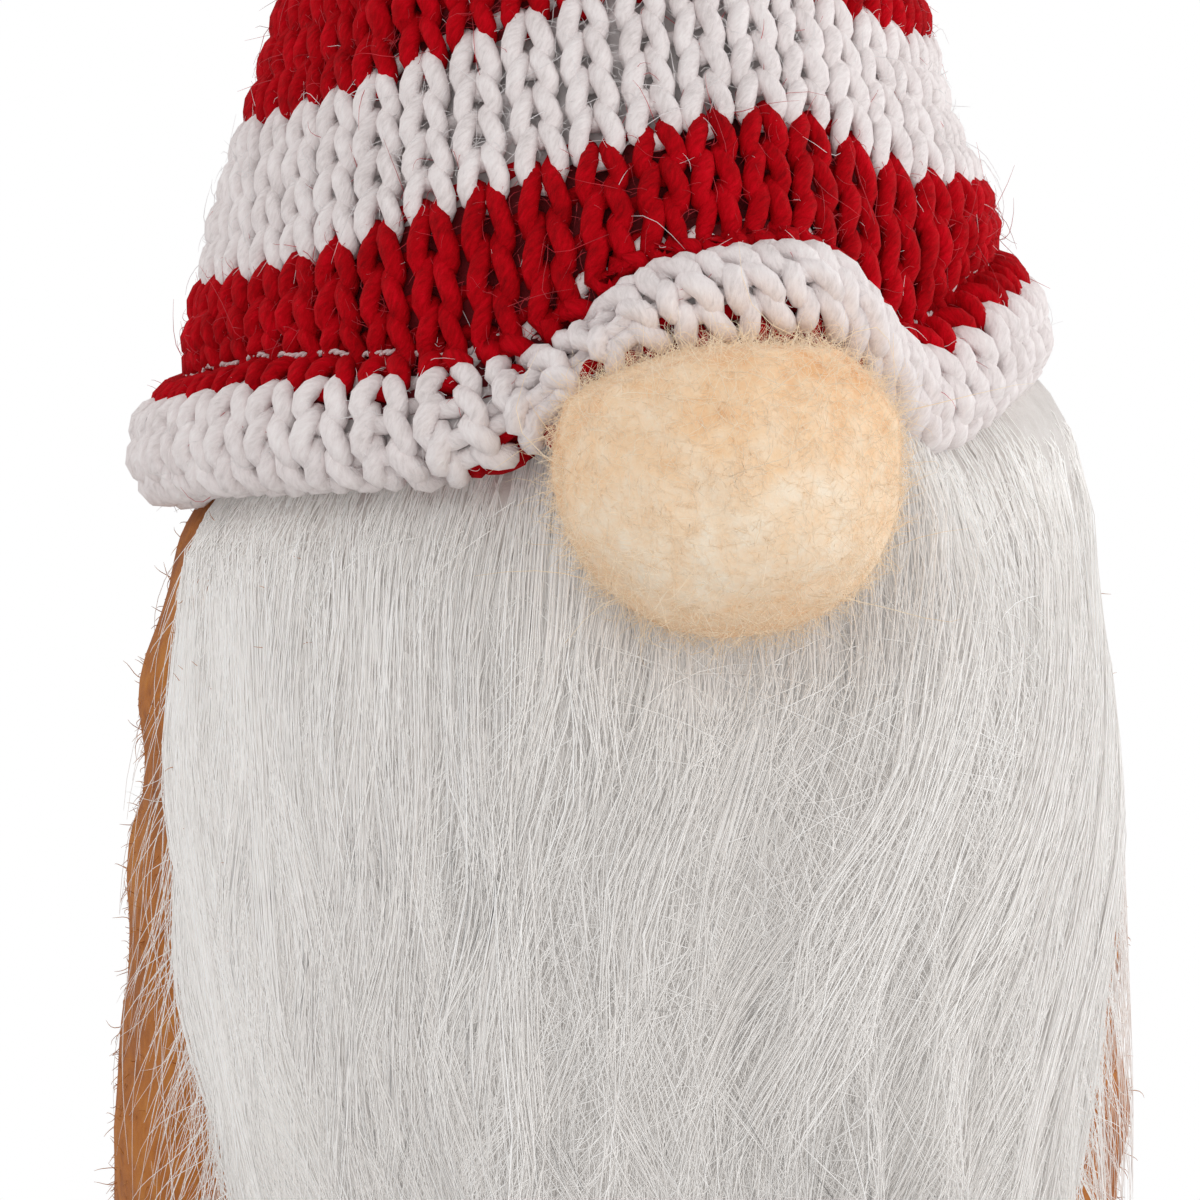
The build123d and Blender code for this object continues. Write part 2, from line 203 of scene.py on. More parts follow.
def tube_faces(centre, radius, sides, up=None):
    """Points, faces and caps of closed tubes. centre is (tubes, steps, 3), radius (tubes, steps)."""
    n, m, _ = centre.shape
    along = unit(np.gradient(centre, axis=1))
    if up is None:
        up = np.where(np.abs(along[..., 2:3]) > 0.8, [[[1.0, 0.0, 0.0]]], [[[0.0, 0.0, 1.0]]])
        up = np.broadcast_to(up[:, :1], along.shape)
    side = unit(np.cross(along, up))
    over = np.cross(side, along)
    turn = np.arange(sides) / sides * 2 * math.pi
    ring = side[:, :, None] * np.cos(turn)[:, None] + over[:, :, None] * np.sin(turn)[:, None]
    verts = centre[:, :, None] + ring * radius[:, :, None, None]
    index = np.arange(n * m * sides, dtype=np.int32).reshape(n, m, sides)
    after = np.roll(index, -1, axis=2)
    quads = np.stack([index[:, :-1], index[:, 1:], after[:, 1:], after[:, :-1]], -1).reshape(-1, 4)
    caps = np.concatenate([index[:, 0], index[:, -1, ::-1]])
    return verts.reshape(-1, 3), quads, caps


def tube_uv(n, m, sides, along, start=None, width=1.0):
    """Loop coordinates for tube_faces. along is (tubes, steps - 1, 2), start and width are across a tube."""
    start = np.zeros(n) if start is None else start
    j = np.arange(sides)
    u0 = start[:, None, None] + width * (j / sides)[None, None, :]
    u1 = start[:, None, None] + width * ((j + 1) / sides)[None, None, :]
    u0, u1 = (np.broadcast_to(u, (n, m - 1, sides)) for u in (u0, u1))
    v0 = np.broadcast_to(along[:, :, :1], (n, m - 1, sides))
    v1 = np.broadcast_to(along[:, :, 1:], (n, m - 1, sides))
    corners = [(u0, v0), (u0, v1), (u1, v1), (u1, v0)]
    return np.stack([np.stack(c, -1) for c in corners], -2).reshape(-1, 2)


def fibre_piece(name, centre, radius, material, seed, sides=3):
    """Many fine fibres as one piece. Each has its own narrow column of the coordinates, for its shade."""
    n, m, _ = centre.shape
    verts, quads, caps = tube_faces(centre, radius, sides)
    shade = np.random.default_rng(seed).uniform(0.0, 0.97, n)
    step = np.linspace(0, 1, m)
    span = np.broadcast_to(np.stack([step[:-1], step[1:]], -1)[None], (n, m - 1, 2))
    uv = tube_uv(n, m, sides, span, shade, 0.02)
    return make_piece(name, verts, quads, caps, {"OFBake": uv}, materials=[material])


# ------------------------------------------------------------------ materials
def nodes_of(name):
    """A new material, its node tree and its shader."""
    material = bpy.data.materials.new(name)
    material.use_nodes = True
    tree = material.node_tree
    return material, tree, tree.nodes["Principled BSDF"]


def fill(tree, socket, value):
    """Gives a node's input a value, or a link from another node's output."""
    if isinstance(value, bpy.types.NodeSocket):
        tree.links.new(value, socket)
    else:
        socket.default_value = value


def set_inputs(tree, node, **values):
    """Fills a node's inputs by name, with _ for each space."""
    for key, value in values.items():
        fill(tree, node.inputs[key.replace("_", " ")], value)


def add_node(tree, kind, in_order=(), settings=None, **values):
    """A new node with its settings made, and its inputs filled in order or by name."""
    node = tree.nodes.new(kind)
    for key, value in (settings or {}).items():
        setattr(node, key, value)
    for socket, value in zip(node.inputs, in_order):
        fill(tree, socket, value)
    set_inputs(tree, node, **values)
    return node


def ramp(tree, factor, stops):
    """The colour found by a factor among (place, colour) stops."""
    node = tree.nodes.new("ShaderNodeValToRGB")
    elements = node.color_ramp.elements
    while len(elements) < len(stops):
        elements.new(0.5)
    for element, (place, colour) in zip(elements, stops):
        element.position = place
        element.color = (*colour, 1.0)
    tree.links.new(factor, node.inputs["Fac"])
    return node.outputs["Color"]


def srgb(r, g, b):
    """A colour given as 0-255 screen values, as Blender's linear values."""
    def linear(c):
        c /= 255
        return c / 12.92 if c <= 0.04045 else ((c + 0.055) / 1.055) ** 2.4
    return linear(r), linear(g), linear(b)


def coordinates(tree, layer=None, scale=(1, 1, 1)):
    """The object's own coordinates, or those of a named layer, scaled."""
    if layer:
        source = add_node(tree, "ShaderNodeUVMap", settings={"uv_map": layer}).outputs["UV"]
    else:
        source = add_node(tree, "ShaderNodeTexCoord").outputs["Object"]
    return add_node(tree, "ShaderNodeMapping", Vector=source, Scale=scale).outputs["Vector"]


def noise_of(tree, vector, **values):
    """Noise at a place, 0 to 1."""
    return add_node(tree, "ShaderNodeTexNoise", Vector=vector, **values).outputs["Fac"]


def math_of(tree, operation, *values):
    """A sum or product of values."""
    return add_node(tree, "ShaderNodeMath", values, {"operation": operation}).outputs[0]


def mixture(tree, one, other, share):
    """A share of one value and the rest of another."""
    return math_of(tree, "MULTIPLY_ADD", one, share, math_of(tree, "MULTIPLY", other, 1 - share))


def bump_of(tree, height, strength, deep_mm):
    """The surface's direction, tipped by a height."""
    node = add_node(tree, "ShaderNodeBump", Strength=strength, Distance=deep_mm * MM, Height=height)
    return node.outputs["Normal"]


def yarn_material(name, dark, mid, light, sheen=0.5):
    """Spun acrylic yarn: fine fibres wound round the strand, its colour darker where the fibre bump is low
    (painted shade between the fibres), with a soft bloom.
    """
    material, tree, shader = nodes_of(name)
    fibres = noise_of(tree, coordinates(tree, "Yarn", (5.0, 0.9, 1.0)), Scale=2.2, Detail=6.0, Roughness=0.65)
    blotch = noise_of(tree, coordinates(tree), Scale=420.0, Detail=3.0)
    colour = ramp(tree, mixture(tree, fibres, blotch, 0.65), [(0.3, dark), (0.5, mid), (0.68, light)])
    set_inputs(tree, shader, Base_Color=colour, Normal=bump_of(tree, fibres, 0.7, 0.2), Roughness=0.82,
               Specular_IOR_Level=0.08, Sheen_Weight=sheen, Sheen_Roughness=0.5, Sheen_Tint=(*light, 1))
    return material


def add_painted_glow(tree, shader, colour, painted_glow):
    """Painted glow: the surface gives off light of its own colour, standing in for the light that scatters
    among many pale fibres and comes out again.
    """
    if painted_glow:
        set_inputs(tree, shader, Emission_Color=colour, Emission_Strength=painted_glow)


def fibre_material(name, stops, roughness=0.6, sheen=0.1, painted_glow=0.0):
    """Fine fibres: a shade for each strand, drifting a little along it."""
    material, tree, shader = nodes_of(name)
    drift = noise_of(tree, coordinates(tree, "OFBake", (90.0, 1.6, 1.0)), Scale=1.0, Detail=2.0)
    colour = ramp(tree, drift, stops)
    set_inputs(tree, shader, Base_Color=colour, Roughness=roughness, Sheen_Weight=sheen)
    add_painted_glow(tree, shader, colour, painted_glow)
    return material


def cloth_material(name, dark, mid, light, grain, bump_mm, sheen=0.5, weave=None, painted_glow=0.0):
    """Soft cloth, felt or fill: mottled colour, a fine fibre grain and, if asked for, a weave."""
    material, tree, shader = nodes_of(name)
    vector = coordinates(tree)
    fine = noise_of(tree, vector, Scale=grain, Detail=8.0, Roughness=0.7)
    broad = noise_of(tree, vector, Scale=grain * 0.12, Detail=4.0)
    colour = ramp(tree, mixture(tree, fine, broad, 0.5), [(0.34, dark), (0.5, mid), (0.66, light)])
    height = fine
    if weave:
        threads = add_node(tree, "ShaderNodeTexWave", Vector=vector, Scale=weave, Distortion=1.5)
        height = math_of(tree, "ADD", threads.outputs["Fac"], fine)
    set_inputs(tree, shader, Base_Color=colour, Normal=bump_of(tree, height, 0.8, bump_mm), Roughness=0.9,
               Sheen_Weight=sheen, Sheen_Roughness=0.6)
    add_painted_glow(tree, shader, colour, painted_glow)
    return material


def hard_material(name, dark, light, grain, roughness, metallic=0.0):
    """Board, glue, sand or wire: a speckled colour with a roughness that varies with it."""
    material, tree, shader = nodes_of(name)
    speckle = noise_of(tree, coordinates(tree), Scale=grain, Detail=6.0)
    span = add_node(tree, "ShaderNodeMapRange", Value=speckle, To_Min=roughness - 0.1, To_Max=roughness + 0.1)
    set_inputs(tree, shader, Base_Color=ramp(tree, speckle, [(0.35, dark), (0.65, light)]),
               Roughness=span.outputs["Result"], Metallic=metallic)
    return material


RED_YARN = yarn_material("red yarn", srgb(120, 0, 6), srgb(178, 0, 14), srgb(214, 4, 28), 0.06)
WHITE_YARN = yarn_material("white yarn", srgb(216, 206, 204), srgb(244, 235, 234), srgb(255, 249, 248), 0.2)
RED_FUZZ = fibre_material("red fuzz", [(0.3, srgb(150, 8, 22)), (0.7, srgb(222, 40, 58))])
WHITE_FUZZ = fibre_material("white fuzz", [(0.3, srgb(225, 220, 220)), (0.7, srgb(250, 246, 246))])
# the inside of the knit, darker than the yarn: painted shade in the gaps between the stitches
RED_BACK_SHADED = cloth_material("red knit inside shaded",
                          srgb(64, 2, 8), srgb(110, 3, 13), srgb(140, 5, 20), 900, 0.3, 0.0)
WHITE_BACK_SHADED = cloth_material("white knit inside shaded",
                            srgb(170, 162, 160), srgb(206, 199, 198), srgb(226, 221, 220), 900, 0.3)
HEM_THREAD = yarn_material("hem thread", srgb(190, 150, 152), srgb(236, 214, 214), srgb(252, 244, 244), 0.3)
# the beard's fibres glow faintly: painted light, for the light scattered among them
BEARD = fibre_material("beard fibre", [(0.3, srgb(236, 231, 227)), (0.5, srgb(246, 243, 240)),
                                       (0.7, srgb(254, 253, 252))], 0.45, 0.1, painted_glow=0.085)
# the mass and backing under the beard's fibres: greyer than the fibres, painted shade in the gaps between
# them, with a weak painted glow
BEARD_UNDER_SHADED = cloth_material("beard under shaded", srgb(196, 188, 182), srgb(218, 211, 206), srgb(232, 227, 223),
                             700, 0.3, painted_glow=0.03)
# the nose's felt and its fibres glow faintly: painted light, for the light scattered in the felt
FELT = cloth_material("nose felt", srgb(236, 170, 98), srgb(250, 216, 176), srgb(255, 240, 218),
                      620, 0.3, 0.2, painted_glow=0.03)
FELT_FIBRE = fibre_material("nose fibre", [(0.3, srgb(252, 220, 178)), (0.7, srgb(255, 243, 224))], painted_glow=0.03)
FLEECE = cloth_material("ochre fleece", srgb(140, 70, 4), srgb(184, 106, 16), srgb(204, 130, 36),
                        800, 0.4, 0.05)
FLEECE_FIBRE = fibre_material("ochre fibre", [(0.3, srgb(158, 84, 8)), (0.7, srgb(206, 134, 44))], sheen=0.0)
FILL = cloth_material("fibre fill", srgb(214, 214, 212), srgb(236, 236, 234), srgb(250, 250, 250), 500, 0.5)
COTTON = cloth_material("cotton pouch", srgb(206, 196, 178), srgb(224, 216, 200), srgb(238, 232, 220),
                        1500, 0.15, 0.3, 900)
OCHRE_THREAD = yarn_material("ochre thread", srgb(140, 80, 26), srgb(176, 108, 42), srgb(206, 140, 70), 0.2)
BOARD = hard_material("grey board", srgb(138, 130, 118), srgb(168, 160, 146), 1200, 0.9)
SAND = hard_material("fine sand", srgb(168, 146, 108), srgb(214, 194, 156), 2600, 0.92)
GLUE = hard_material("hot-melt glue", srgb(214, 206, 180), srgb(236, 230, 210), 300, 0.3)
WIRE = hard_material("soft wire", srgb(120, 122, 126), srgb(166, 168, 170), 900, 0.38, 1.0)

# ------------------------------------------------------------------ the hat's shape
WALE = 2.65  # a stitch's width
COURSE = 2.05  # a stitch's height
YARN_R = 0.49
HAT_FORWARD = 3.2  # how far the front of the hat stands forward over the nose, at the brim
ARCH_FORWARD = 1.7  # the arched part lies further forward still, on top of the nose
ARCH_RISE = 4.6
DIP = 2.1  # the brim hangs lower beside the arch
STRIPE = 4  # courses to a stripe
FIRST_COURSE = -1  # the lowest red stripe starts one course below the hem thread
INSIDE_COURSE = FIRST_COURSE - STRIPE  # courses below this are the red edge, tucked in
HAT_OUTLINE = eased([(20.8, 60.0), (20.3, 67.0), (19.0, 72.0), (16.8, 78.5), (12.9, 92.0), (9.1, 106.8),
                     (5.3, 121.5), (2.9, 131.0), (1.2, HAT_TOP)])
# (out, up) from the roll's centre line, from the hem thread round to the raw edge inside
ROLL_SECTION = np.array([
    (-0.75, 4.1), (0.7, 3.35), (1.75, 1.9), (2.1, 0.1), (1.55, -1.6), (0.0, -2.2), (-1.5, -1.5), (-2.0, 0.1),
])


def hat_radius(z):
    """The hat's radius at a height."""
    return np.interp(z, *HAT_OUTLINE)


def hat_push(z):
    """How far the front of the hat stands forward over the nose."""
    return HAT_FORWARD * (1 - smooth(62.0, 84.0, z))


def bump(angle, centre, left, right, power=2.0):
    """A hill of height 1 over an angle, with its own width to each side."""
    away = (angle - centre + 180) % 360 - 180
    width = np.where(away < 0, left, right)
    return np.exp(-np.abs(away / width) ** power)


def plateau(angle, centre, left, right, steep=5):
    """1 over an angle and 0 away from it, with its own half width to each side."""
    away = (angle - centre + 180) % 360 - 180
    return 1 / (1 + np.abs(away / np.where(away < 0, left, right)) ** steep)


def brim_arch(angle):
    """1 where the brim arches over the nose, falling steeply to 0 at each side of it."""
    return plateau(angle, 5, 20.5, 17.5)


def brim_height(angle):
    """The roll's centre line: sloping to one side, arched over the nose, dipped beside it."""
    arch = brim_arch(angle)
    return (BRIM_Z + TILT * np.sin(np.radians(angle)) + ARCH_RISE * arch - DIP * bump(angle, 34, 8, 12)
            + 0.4 * np.sin(np.radians(angle * 5 + 40)) * (1 - arch))


def wall_level(y):
    """The mean height of a place y up the cloth: the cloth slants in, and bulges just above the hem."""
    return BRIM_Z + HEM_UP + 0.96 * (y - 1.6 * (1 - np.exp(-y / 4)))


def hat_place(angle, r, front, more, z):
    """A point at an angle and distance from the hat's axis, with its front half pushed forward."""
    way = np.radians(angle)
    forward = front * np.maximum(np.cos(way), 0) ** 2 + more
    return np.stack([HAT_X + r * np.sin(way), HAT_Y - r * np.cos(way) - forward, z], -1)


def wall_point(x, y):
    """A point of the hat's wall: x along a course from the front, y up the cloth from the hem thread."""
    level = wall_level(y)
    radius = hat_radius(level)
    angle = np.degrees(x / radius)
    up = np.clip(y / 6.8, 0, 1)
    fade = np.clip(1 - y / 72, 0, 1)
    tuck = brim_arch(angle) * np.exp(-np.maximum(y, 0) / 2.0)
    at_hem = brim_height(angle) - BRIM_Z
    above = 2.75 * np.sin(np.radians(angle)) - 0.5 + 5.4 * bump(angle, 8, 50, 29)
    z = level + (1 - up) * at_hem + up * above * fade - 1.5 * tuck
    soft = waves(np.stack([angle / 30, y / 9], -1), 1.6, 5)
    r = radius - 0.7 * np.exp(-np.maximum(y, 0) / 1.3) - 0.9 * tuck + 0.22 * soft * smooth(0, 4, y) * fade
    r = r + 0.25 * bump(angle, 80, 34, 40) * np.exp(-((y - 4.5) / 3.5) ** 2)
    over_nose = ARCH_FORWARD * brim_arch(angle) * np.exp(-np.maximum(y, 0) / 4)
    return hat_place(angle, r, hat_push(z), over_nose, z)


def roll_point(x, y):
    """A point of the rolled hem: y runs down from the hem thread, round the roll and up inside."""
    length = distance_along(ROLL_SECTION)
    fine = np.linspace(0, length[-1], 60)
    padded = [np.pad(np.interp(fine, length, c), 3, "reflect", reflect_type="odd") for c in ROLL_SECTION.T]
    down = np.clip(-y, 0, length[-1])
    out, up = (np.interp(down, fine, np.convolve(c, np.ones(7) / 7, "valid")) for c in padded)
    level = BRIM_Z + HEM_UP
    angle = np.degrees(x / hat_radius(level))
    lean = 0.08 + 0.3 * plateau(angle, 0, 34, 26)
    angle = angle + np.degrees(lean * down / hat_radius(level))
    turn = np.radians(74) * plateau(angle, 3, 31, 22) * smooth(0, 3.0, down)
    lump = 1 + 0.04 * waves(np.stack([angle / 14, y / 8], -1), 1.5, 9)
    turned_out = lump * (out * np.cos(turn) - up * np.sin(turn))
    turned_up = lump * (out * np.sin(turn) + up * np.cos(turn))
    return hat_place(angle, BRIM_R + turned_out, HAT_FORWARD, ARCH_FORWARD * brim_arch(angle),
                     brim_height(angle) + turned_up)


def hat_point(x, y):
    """A point of the hat's cloth, wall above the hem thread and roll below it, joined without a step."""
    x, y = np.broadcast_arrays(np.asarray(x, float), np.asarray(y, float))
    wall = wall_point(x, np.maximum(y, 0))
    step = wall_point(x, np.zeros_like(y)) - roll_point(x, np.zeros_like(y))
    roll = roll_point(x, np.minimum(y, 0)) + step * np.exp(np.minimum(y, 0) / 1.5)[..., None]
    return np.where((y >= 0)[..., None], wall, roll)


def hat_normal(x, y):
    """The way out of the cloth."""
    e = 0.15
    across = hat_point(x + e, y) - hat_point(x - e, y)
    up = hat_point(x, y + e) - hat_point(x, y - e)
    return unit(np.cross(across, up))


def half_length(y):
    """Half the length of a course, from the front round to the back seam."""
    return math.pi * hat_radius(wall_level(np.maximum(y, 0)))


# ------------------------------------------------------------------ the knit
def course_line(course, steps):
    """The yarn of one course: its centre line, thickness, and the cloth's normal along it."""
    y_middle = (course + 0.5) * COURSE
    reach = float(half_length(np.array(max(y_middle, 0.0))))
    wales = max(int(reach / WALE - 0.5), 0)
    count = 2 * wales + 1
    rng = np.random.default_rng(1000 + course)
    t = np.linspace(-math.pi, math.pi * (2 * count - 1), count * steps + 1)
    wale = np.round(t / (2 * math.pi))
    uneven = rng.normal(0, 1, (4, count + 1))
    pick = np.clip(wale.astype(int), 0, count)
    on_roll = course < FIRST_COURSE
    splay = 0.0 if on_roll else 0.09
    x = (WALE * (t / (2 * math.pi) - wales) + 0.5 * np.sin(2 * t) + splay * np.sin(t)
         + 0.06 * uneven[0][pick] * np.sin(t / 2))
    y = y_middle + (1.7 + 0.07 * uneven[1][pick]) * np.cos(t)
    spare = reach - count * WALE / 2
    x = x + np.sign(x) * spare * smooth(0.55, 1.0, np.abs(x) / reach)
    depth = -(0.42 + 0.05 * uneven[2][pick]) * np.cos(2 * t) - 0.26 * np.cos(t)
    x = np.clip(x, -reach, reach)
    normal = hat_normal(x, y)
    centre = hat_point(x, y) + normal * (depth - YARN_R)[:, None]
    leg = np.sin(t) ** 2
    thick = YARN_R * (1.1 if on_roll else 1.0)
    radius = thick * (0.82 + 0.2 * leg - 0.06 * np.cos(t)) * (1 + 0.05 * uneven[3][pick])
    return centre, radius, normal


def stripe_piece(name, courses, material):
    """The yarn of several courses of one colour."""
    steps, sides = ((18, 8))
    verts, quads, caps, yarn_uv, bake_uv = [], [], [], [], []
    base = 0
    for course in courses:
        centre, radius, normal = course_line(course, steps)
        v, q, c = tube_faces(centre[None], radius[None], sides, normal[None])
        m = len(centre)
        travelled = distance_along(centre) + 7.3 * course
        span = np.stack([travelled[:-1], travelled[1:]], -1)[None]
        part = (np.arange(m - 1) % steps) / steps
        yarn_uv.append(twisted(tube_uv(1, m, sides, span)))
        bake_uv.append(tube_uv(1, m, sides, np.stack([part, part + 1 / steps], -1)[None]))
        verts.append(v)
        quads.append(q + base)
        caps.append(c + base)
        base += len(v)
    uv = {"OFBake": np.concatenate(bake_uv), "Yarn": np.concatenate(yarn_uv)}
    return make_piece(name, np.concatenate(verts), np.concatenate(quads), np.concatenate(caps), uv,
                      materials=[material])


def twisted(uv):
    """Yarn coordinates sheared so that the fibres wind round the strand."""
    return np.stack([uv[:, 0] + uv[:, 1] * 0.28, uv[:, 1]], -1)


def hat_courses():
    """How many courses there are from the hem thread up to the tip, where the stitches are drawn together."""
    levels = wall_level((np.arange(60) + 1) * COURSE)
    return int(np.searchsorted(levels, HAT_TOP - 2.6))


def settle(obj):
    """A hat piece rides on the figure or on the hat's top, by where it is; one that reaches near the hinge is
    left unattached, its place baked into its points.
    """
    z = read_table(obj.data, "co")[:, 2] / MM
    if z.max() < BEND_Z - BEND_REACH:
        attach(obj, "figure")
    elif z.min() > BEND_Z + BEND_REACH:
        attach(obj, "hat_top")
    else:
        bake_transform(obj)


def build_knit():
    """The roll's courses and the stripes above it. Returns the number of courses above the hem thread."""
    top = hat_courses()
    settle(stripe_piece("hat_roll_inside", range(INSIDE_COURSE - 2, INSIDE_COURSE), RED_YARN))
    settle(stripe_piece("hat_roll_white", range(INSIDE_COURSE, FIRST_COURSE), WHITE_YARN))
    for number, first in enumerate(range(FIRST_COURSE, top, STRIPE), 1):
        colour, material = ("red", RED_YARN) if number % 2 else ("white", WHITE_YARN)
        courses = range(first, min(first + STRIPE, top))
        settle(stripe_piece(f"hat_stripe_{number:02d}_{colour}", courses, material))
    return top


def colour_of(y):
    """0 for red and 1 for white, at a place up the cloth."""
    course = np.floor(np.asarray(y) / COURSE)
    return np.where(course < INSIDE_COURSE, 0, np.floor((course - FIRST_COURSE) / STRIPE) % 2).astype(int)


def build_backing(top):
    """The purl side of the knit: a soft closed layer behind the stitches, coloured darker than the yarn as
    painted shade in the gaps between them.
    """
    rows = np.linspace(-6.2 * COURSE, (top + 0.3) * COURSE, 150)
    turns = 144
    share = np.linspace(-1, 1, turns + 1)[:-1]
    x = share[None] * half_length(np.maximum(rows, 0))[:, None]
    y = np.broadcast_to(rows[:, None], x.shape)
    normal = hat_normal(x * 0.999, y)
    surface = hat_point(x * 0.999, y)
    outer, inner = surface - 1.05 * normal, surface - 1.75 * normal
    verts = np.concatenate([outer.reshape(-1, 3), inner.reshape(-1, 3)])
    roll_middle, roll_half = -6.9, 2.7
    white_roll = np.abs(rows[:-1] - roll_middle) < roll_half
    slot = np.where(rows[:-1] < 0, white_roll, colour_of(rows[:-1] + 0.3)).astype(int)
    band = np.repeat(slot, turns)
    slots = np.concatenate([band, band, [slot[0]] * turns, [slot[-1]] * turns])
    obj = make_piece("hat_knit_back", verts, shell_faces(len(rows), turns), face_slot=slots,
                     materials=[RED_BACK_SHADED, WHITE_BACK_SHADED])
    settle(obj)
    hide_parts("hat_knit_lower", "hat_knit_upper", "hat_brim_roll")


def wisps(root, way, length, radius, steps, curl, seed):
    """Centre lines of short curling fibres from root points, setting off along way."""
    rng = np.random.default_rng(seed)
    n = len(root)
    t = np.linspace(0, 1, steps)[None, :, None]
    bend = unit(np.cross(way, rng.normal(size=(n, 3))))
    other = np.cross(way, bend)
    swing = rng.uniform(-1, 1, (n, 1, 1)) * curl * length[:, None, None]
    sway = rng.uniform(-1, 1, (n, 1, 1)) * curl * length[:, None, None]
    phase = rng.uniform(0, 2 * math.pi, (n, 1, 1))
    curled = np.sin(phase + 3.5 * t) - np.sin(phase)
    line = (root[:, None] + way[:, None] * length[:, None, None] * t
            + bend[:, None] * swing * t ** 2 + other[:, None] * sway * curled)
    thick = radius[:, None] * (1 - 0.7 * np.linspace(0, 1, steps)[None] ** 2)
    return line, thick


def near_hat(line, normal):
    """Hairs bent back so that none stands more than a little off the cloth."""
    off = np.sum((line - line[:, :1]) * normal[:, None], -1)
    kept = 0.9 * np.tanh(off / 0.9)
    return line + (kept - off)[..., None] * normal[:, None]


def build_hat_fuzz(top):
    """Fine stray fibres that stand off the yarn, mostly its own colour."""
    rng = np.random.default_rng(31)
    count = 30000
    y = rng.uniform(-5.2 * COURSE, (top - 0.5) * COURSE, count)
    keep = rng.uniform(0, 1, count) < half_length(np.maximum(y, 0)) / half_length(np.array(0.0))
    y = y[keep]
    x = rng.uniform(-1, 1, len(y)) * half_length(np.maximum(y, 0))
    normal = hat_normal(x, y)
    root = hat_point(x, y) + normal * -0.15
    around = unit(np.cross(normal, rng.normal(size=normal.shape)))
    way = unit(normal * rng.uniform(0.0, 0.45, (len(y), 1)) + around)
    long = rng.uniform(0, 1, len(y)) < 0.05
    length = np.where(long, rng.uniform(2.5, 5.0, len(y)), rng.uniform(0.5, 1.6, len(y)))
    length = length * np.where(y < 1, 0.5, 1.0)
    line, thick = wisps(root, way, length, np.where(long, 0.02, 0.017), 6, 0.4, 32)
    line = near_hat(line, normal)
    white = (colour_of(y) == 1) ^ (rng.uniform(0, 1, len(y)) < 0.05)
    below_bend = root[:, 2] < BEND_Z - 2 * BEND_REACH
    for colour, chosen, material in (("red", ~white, RED_FUZZ), ("white", white, WHITE_FUZZ)):
        for part, side in (("low", below_bend), ("high", ~below_bend)):
            pick = chosen & side
            settle(fibre_piece(f"hat_fuzz_{colour}_{part}", line[pick], thick[pick], material, 33))


def twisted_cord(name, path, cord_r, pitch, material, plies=2):
    """A thread of several plies wound round a path."""
    travelled = distance_along(path)
    steps = int(travelled[-1] / pitch * 7)
    s = np.linspace(0, travelled[-1], steps)
    middle = np.stack([np.interp(s, travelled, path[:, k]) for k in range(3)], -1)
    along = unit(np.gradient(middle, axis=0))
    side = unit(np.cross(along, [0.03, 0.05, 1.0]))
    over = np.cross(side, along)
    strands = []
    for ply in range(plies):
        turn = s / pitch * 2 * math.pi + ply * 2 * math.pi / plies
        strands.append(middle + cord_r * 0.5 * (side * np.cos(turn)[:, None] + over * np.sin(turn)[:, None]))
    centre = np.stack(strands)
    radius = np.full(centre.shape[:2], cord_r * 0.58)
    sides = 6
    v, q, c = tube_faces(centre, radius, sides, np.broadcast_to(over, centre.shape))
    span = np.broadcast_to(np.stack([s[:-1], s[1:]], -1)[None], (plies, steps - 1, 2))
    uv = {"OFBake": tube_uv(plies, steps, sides, span % 1.0), "Yarn": tube_uv(plies, steps, sides, span)}
    return make_piece(name, v, q, c, uv, materials=[material])


def build_hat_threads(top):
    """The hem thread, the back seam's whip stitches and the tie round the tip."""
    reach = float(half_length(np.array(0.0)))
    x = np.linspace(-reach, reach, 700)
    y = 0.12 * np.sin(x * math.pi / WALE)
    hidden = brim_arch(np.degrees(x / hat_radius(BRIM_Z + HEM_UP)))
    stand = 0.34 + 0.12 * np.sin(x * 2 * math.pi / WALE) - 2.6 * np.sqrt(hidden)
    path = hat_point(x, y) + hat_normal(x, y) * stand[:, None]
    hem = twisted_cord("hat_hem_stitching", path, 0.15, 0.8, HEM_THREAD)
    belongs(hem, "figure", "hem_thread", "hat_hem_thread")
    y = np.linspace(0.5, (top - 1) * COURSE, 1500)
    swing = np.sin(y * 2 * math.pi / 1.9)
    reach = half_length(y)
    x = np.sign(swing) * (reach - 0.55 * np.abs(swing))
    path = hat_point(x, y) + hat_normal(x, y) * 0.15
    seam = twisted_cord("hat_seam_whipping", path, 0.17, 0.9, HEM_THREAD)
    settle(seam)
    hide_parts("hat_seam_lower", "hat_seam_upper")
    low, high = box_mm("hat_tip_thread")
    turns = np.linspace(0, 3.2 * 2 * math.pi, 220)
    r = (high[0] - low[0]) / 2 - 0.35
    middle = (low + high) / 2
    path = np.stack([middle[0] + r * np.sin(turns), middle[1] - r * np.cos(turns),
                     middle[2] - 0.35 + 0.7 * turns / turns[-1]], -1)
    tip = twisted_cord("hat_tip_tie", path, 0.2, 0.9, HEM_THREAD)
    belongs(tip, "hat_top", "hem_thread", "hat_tip_thread")


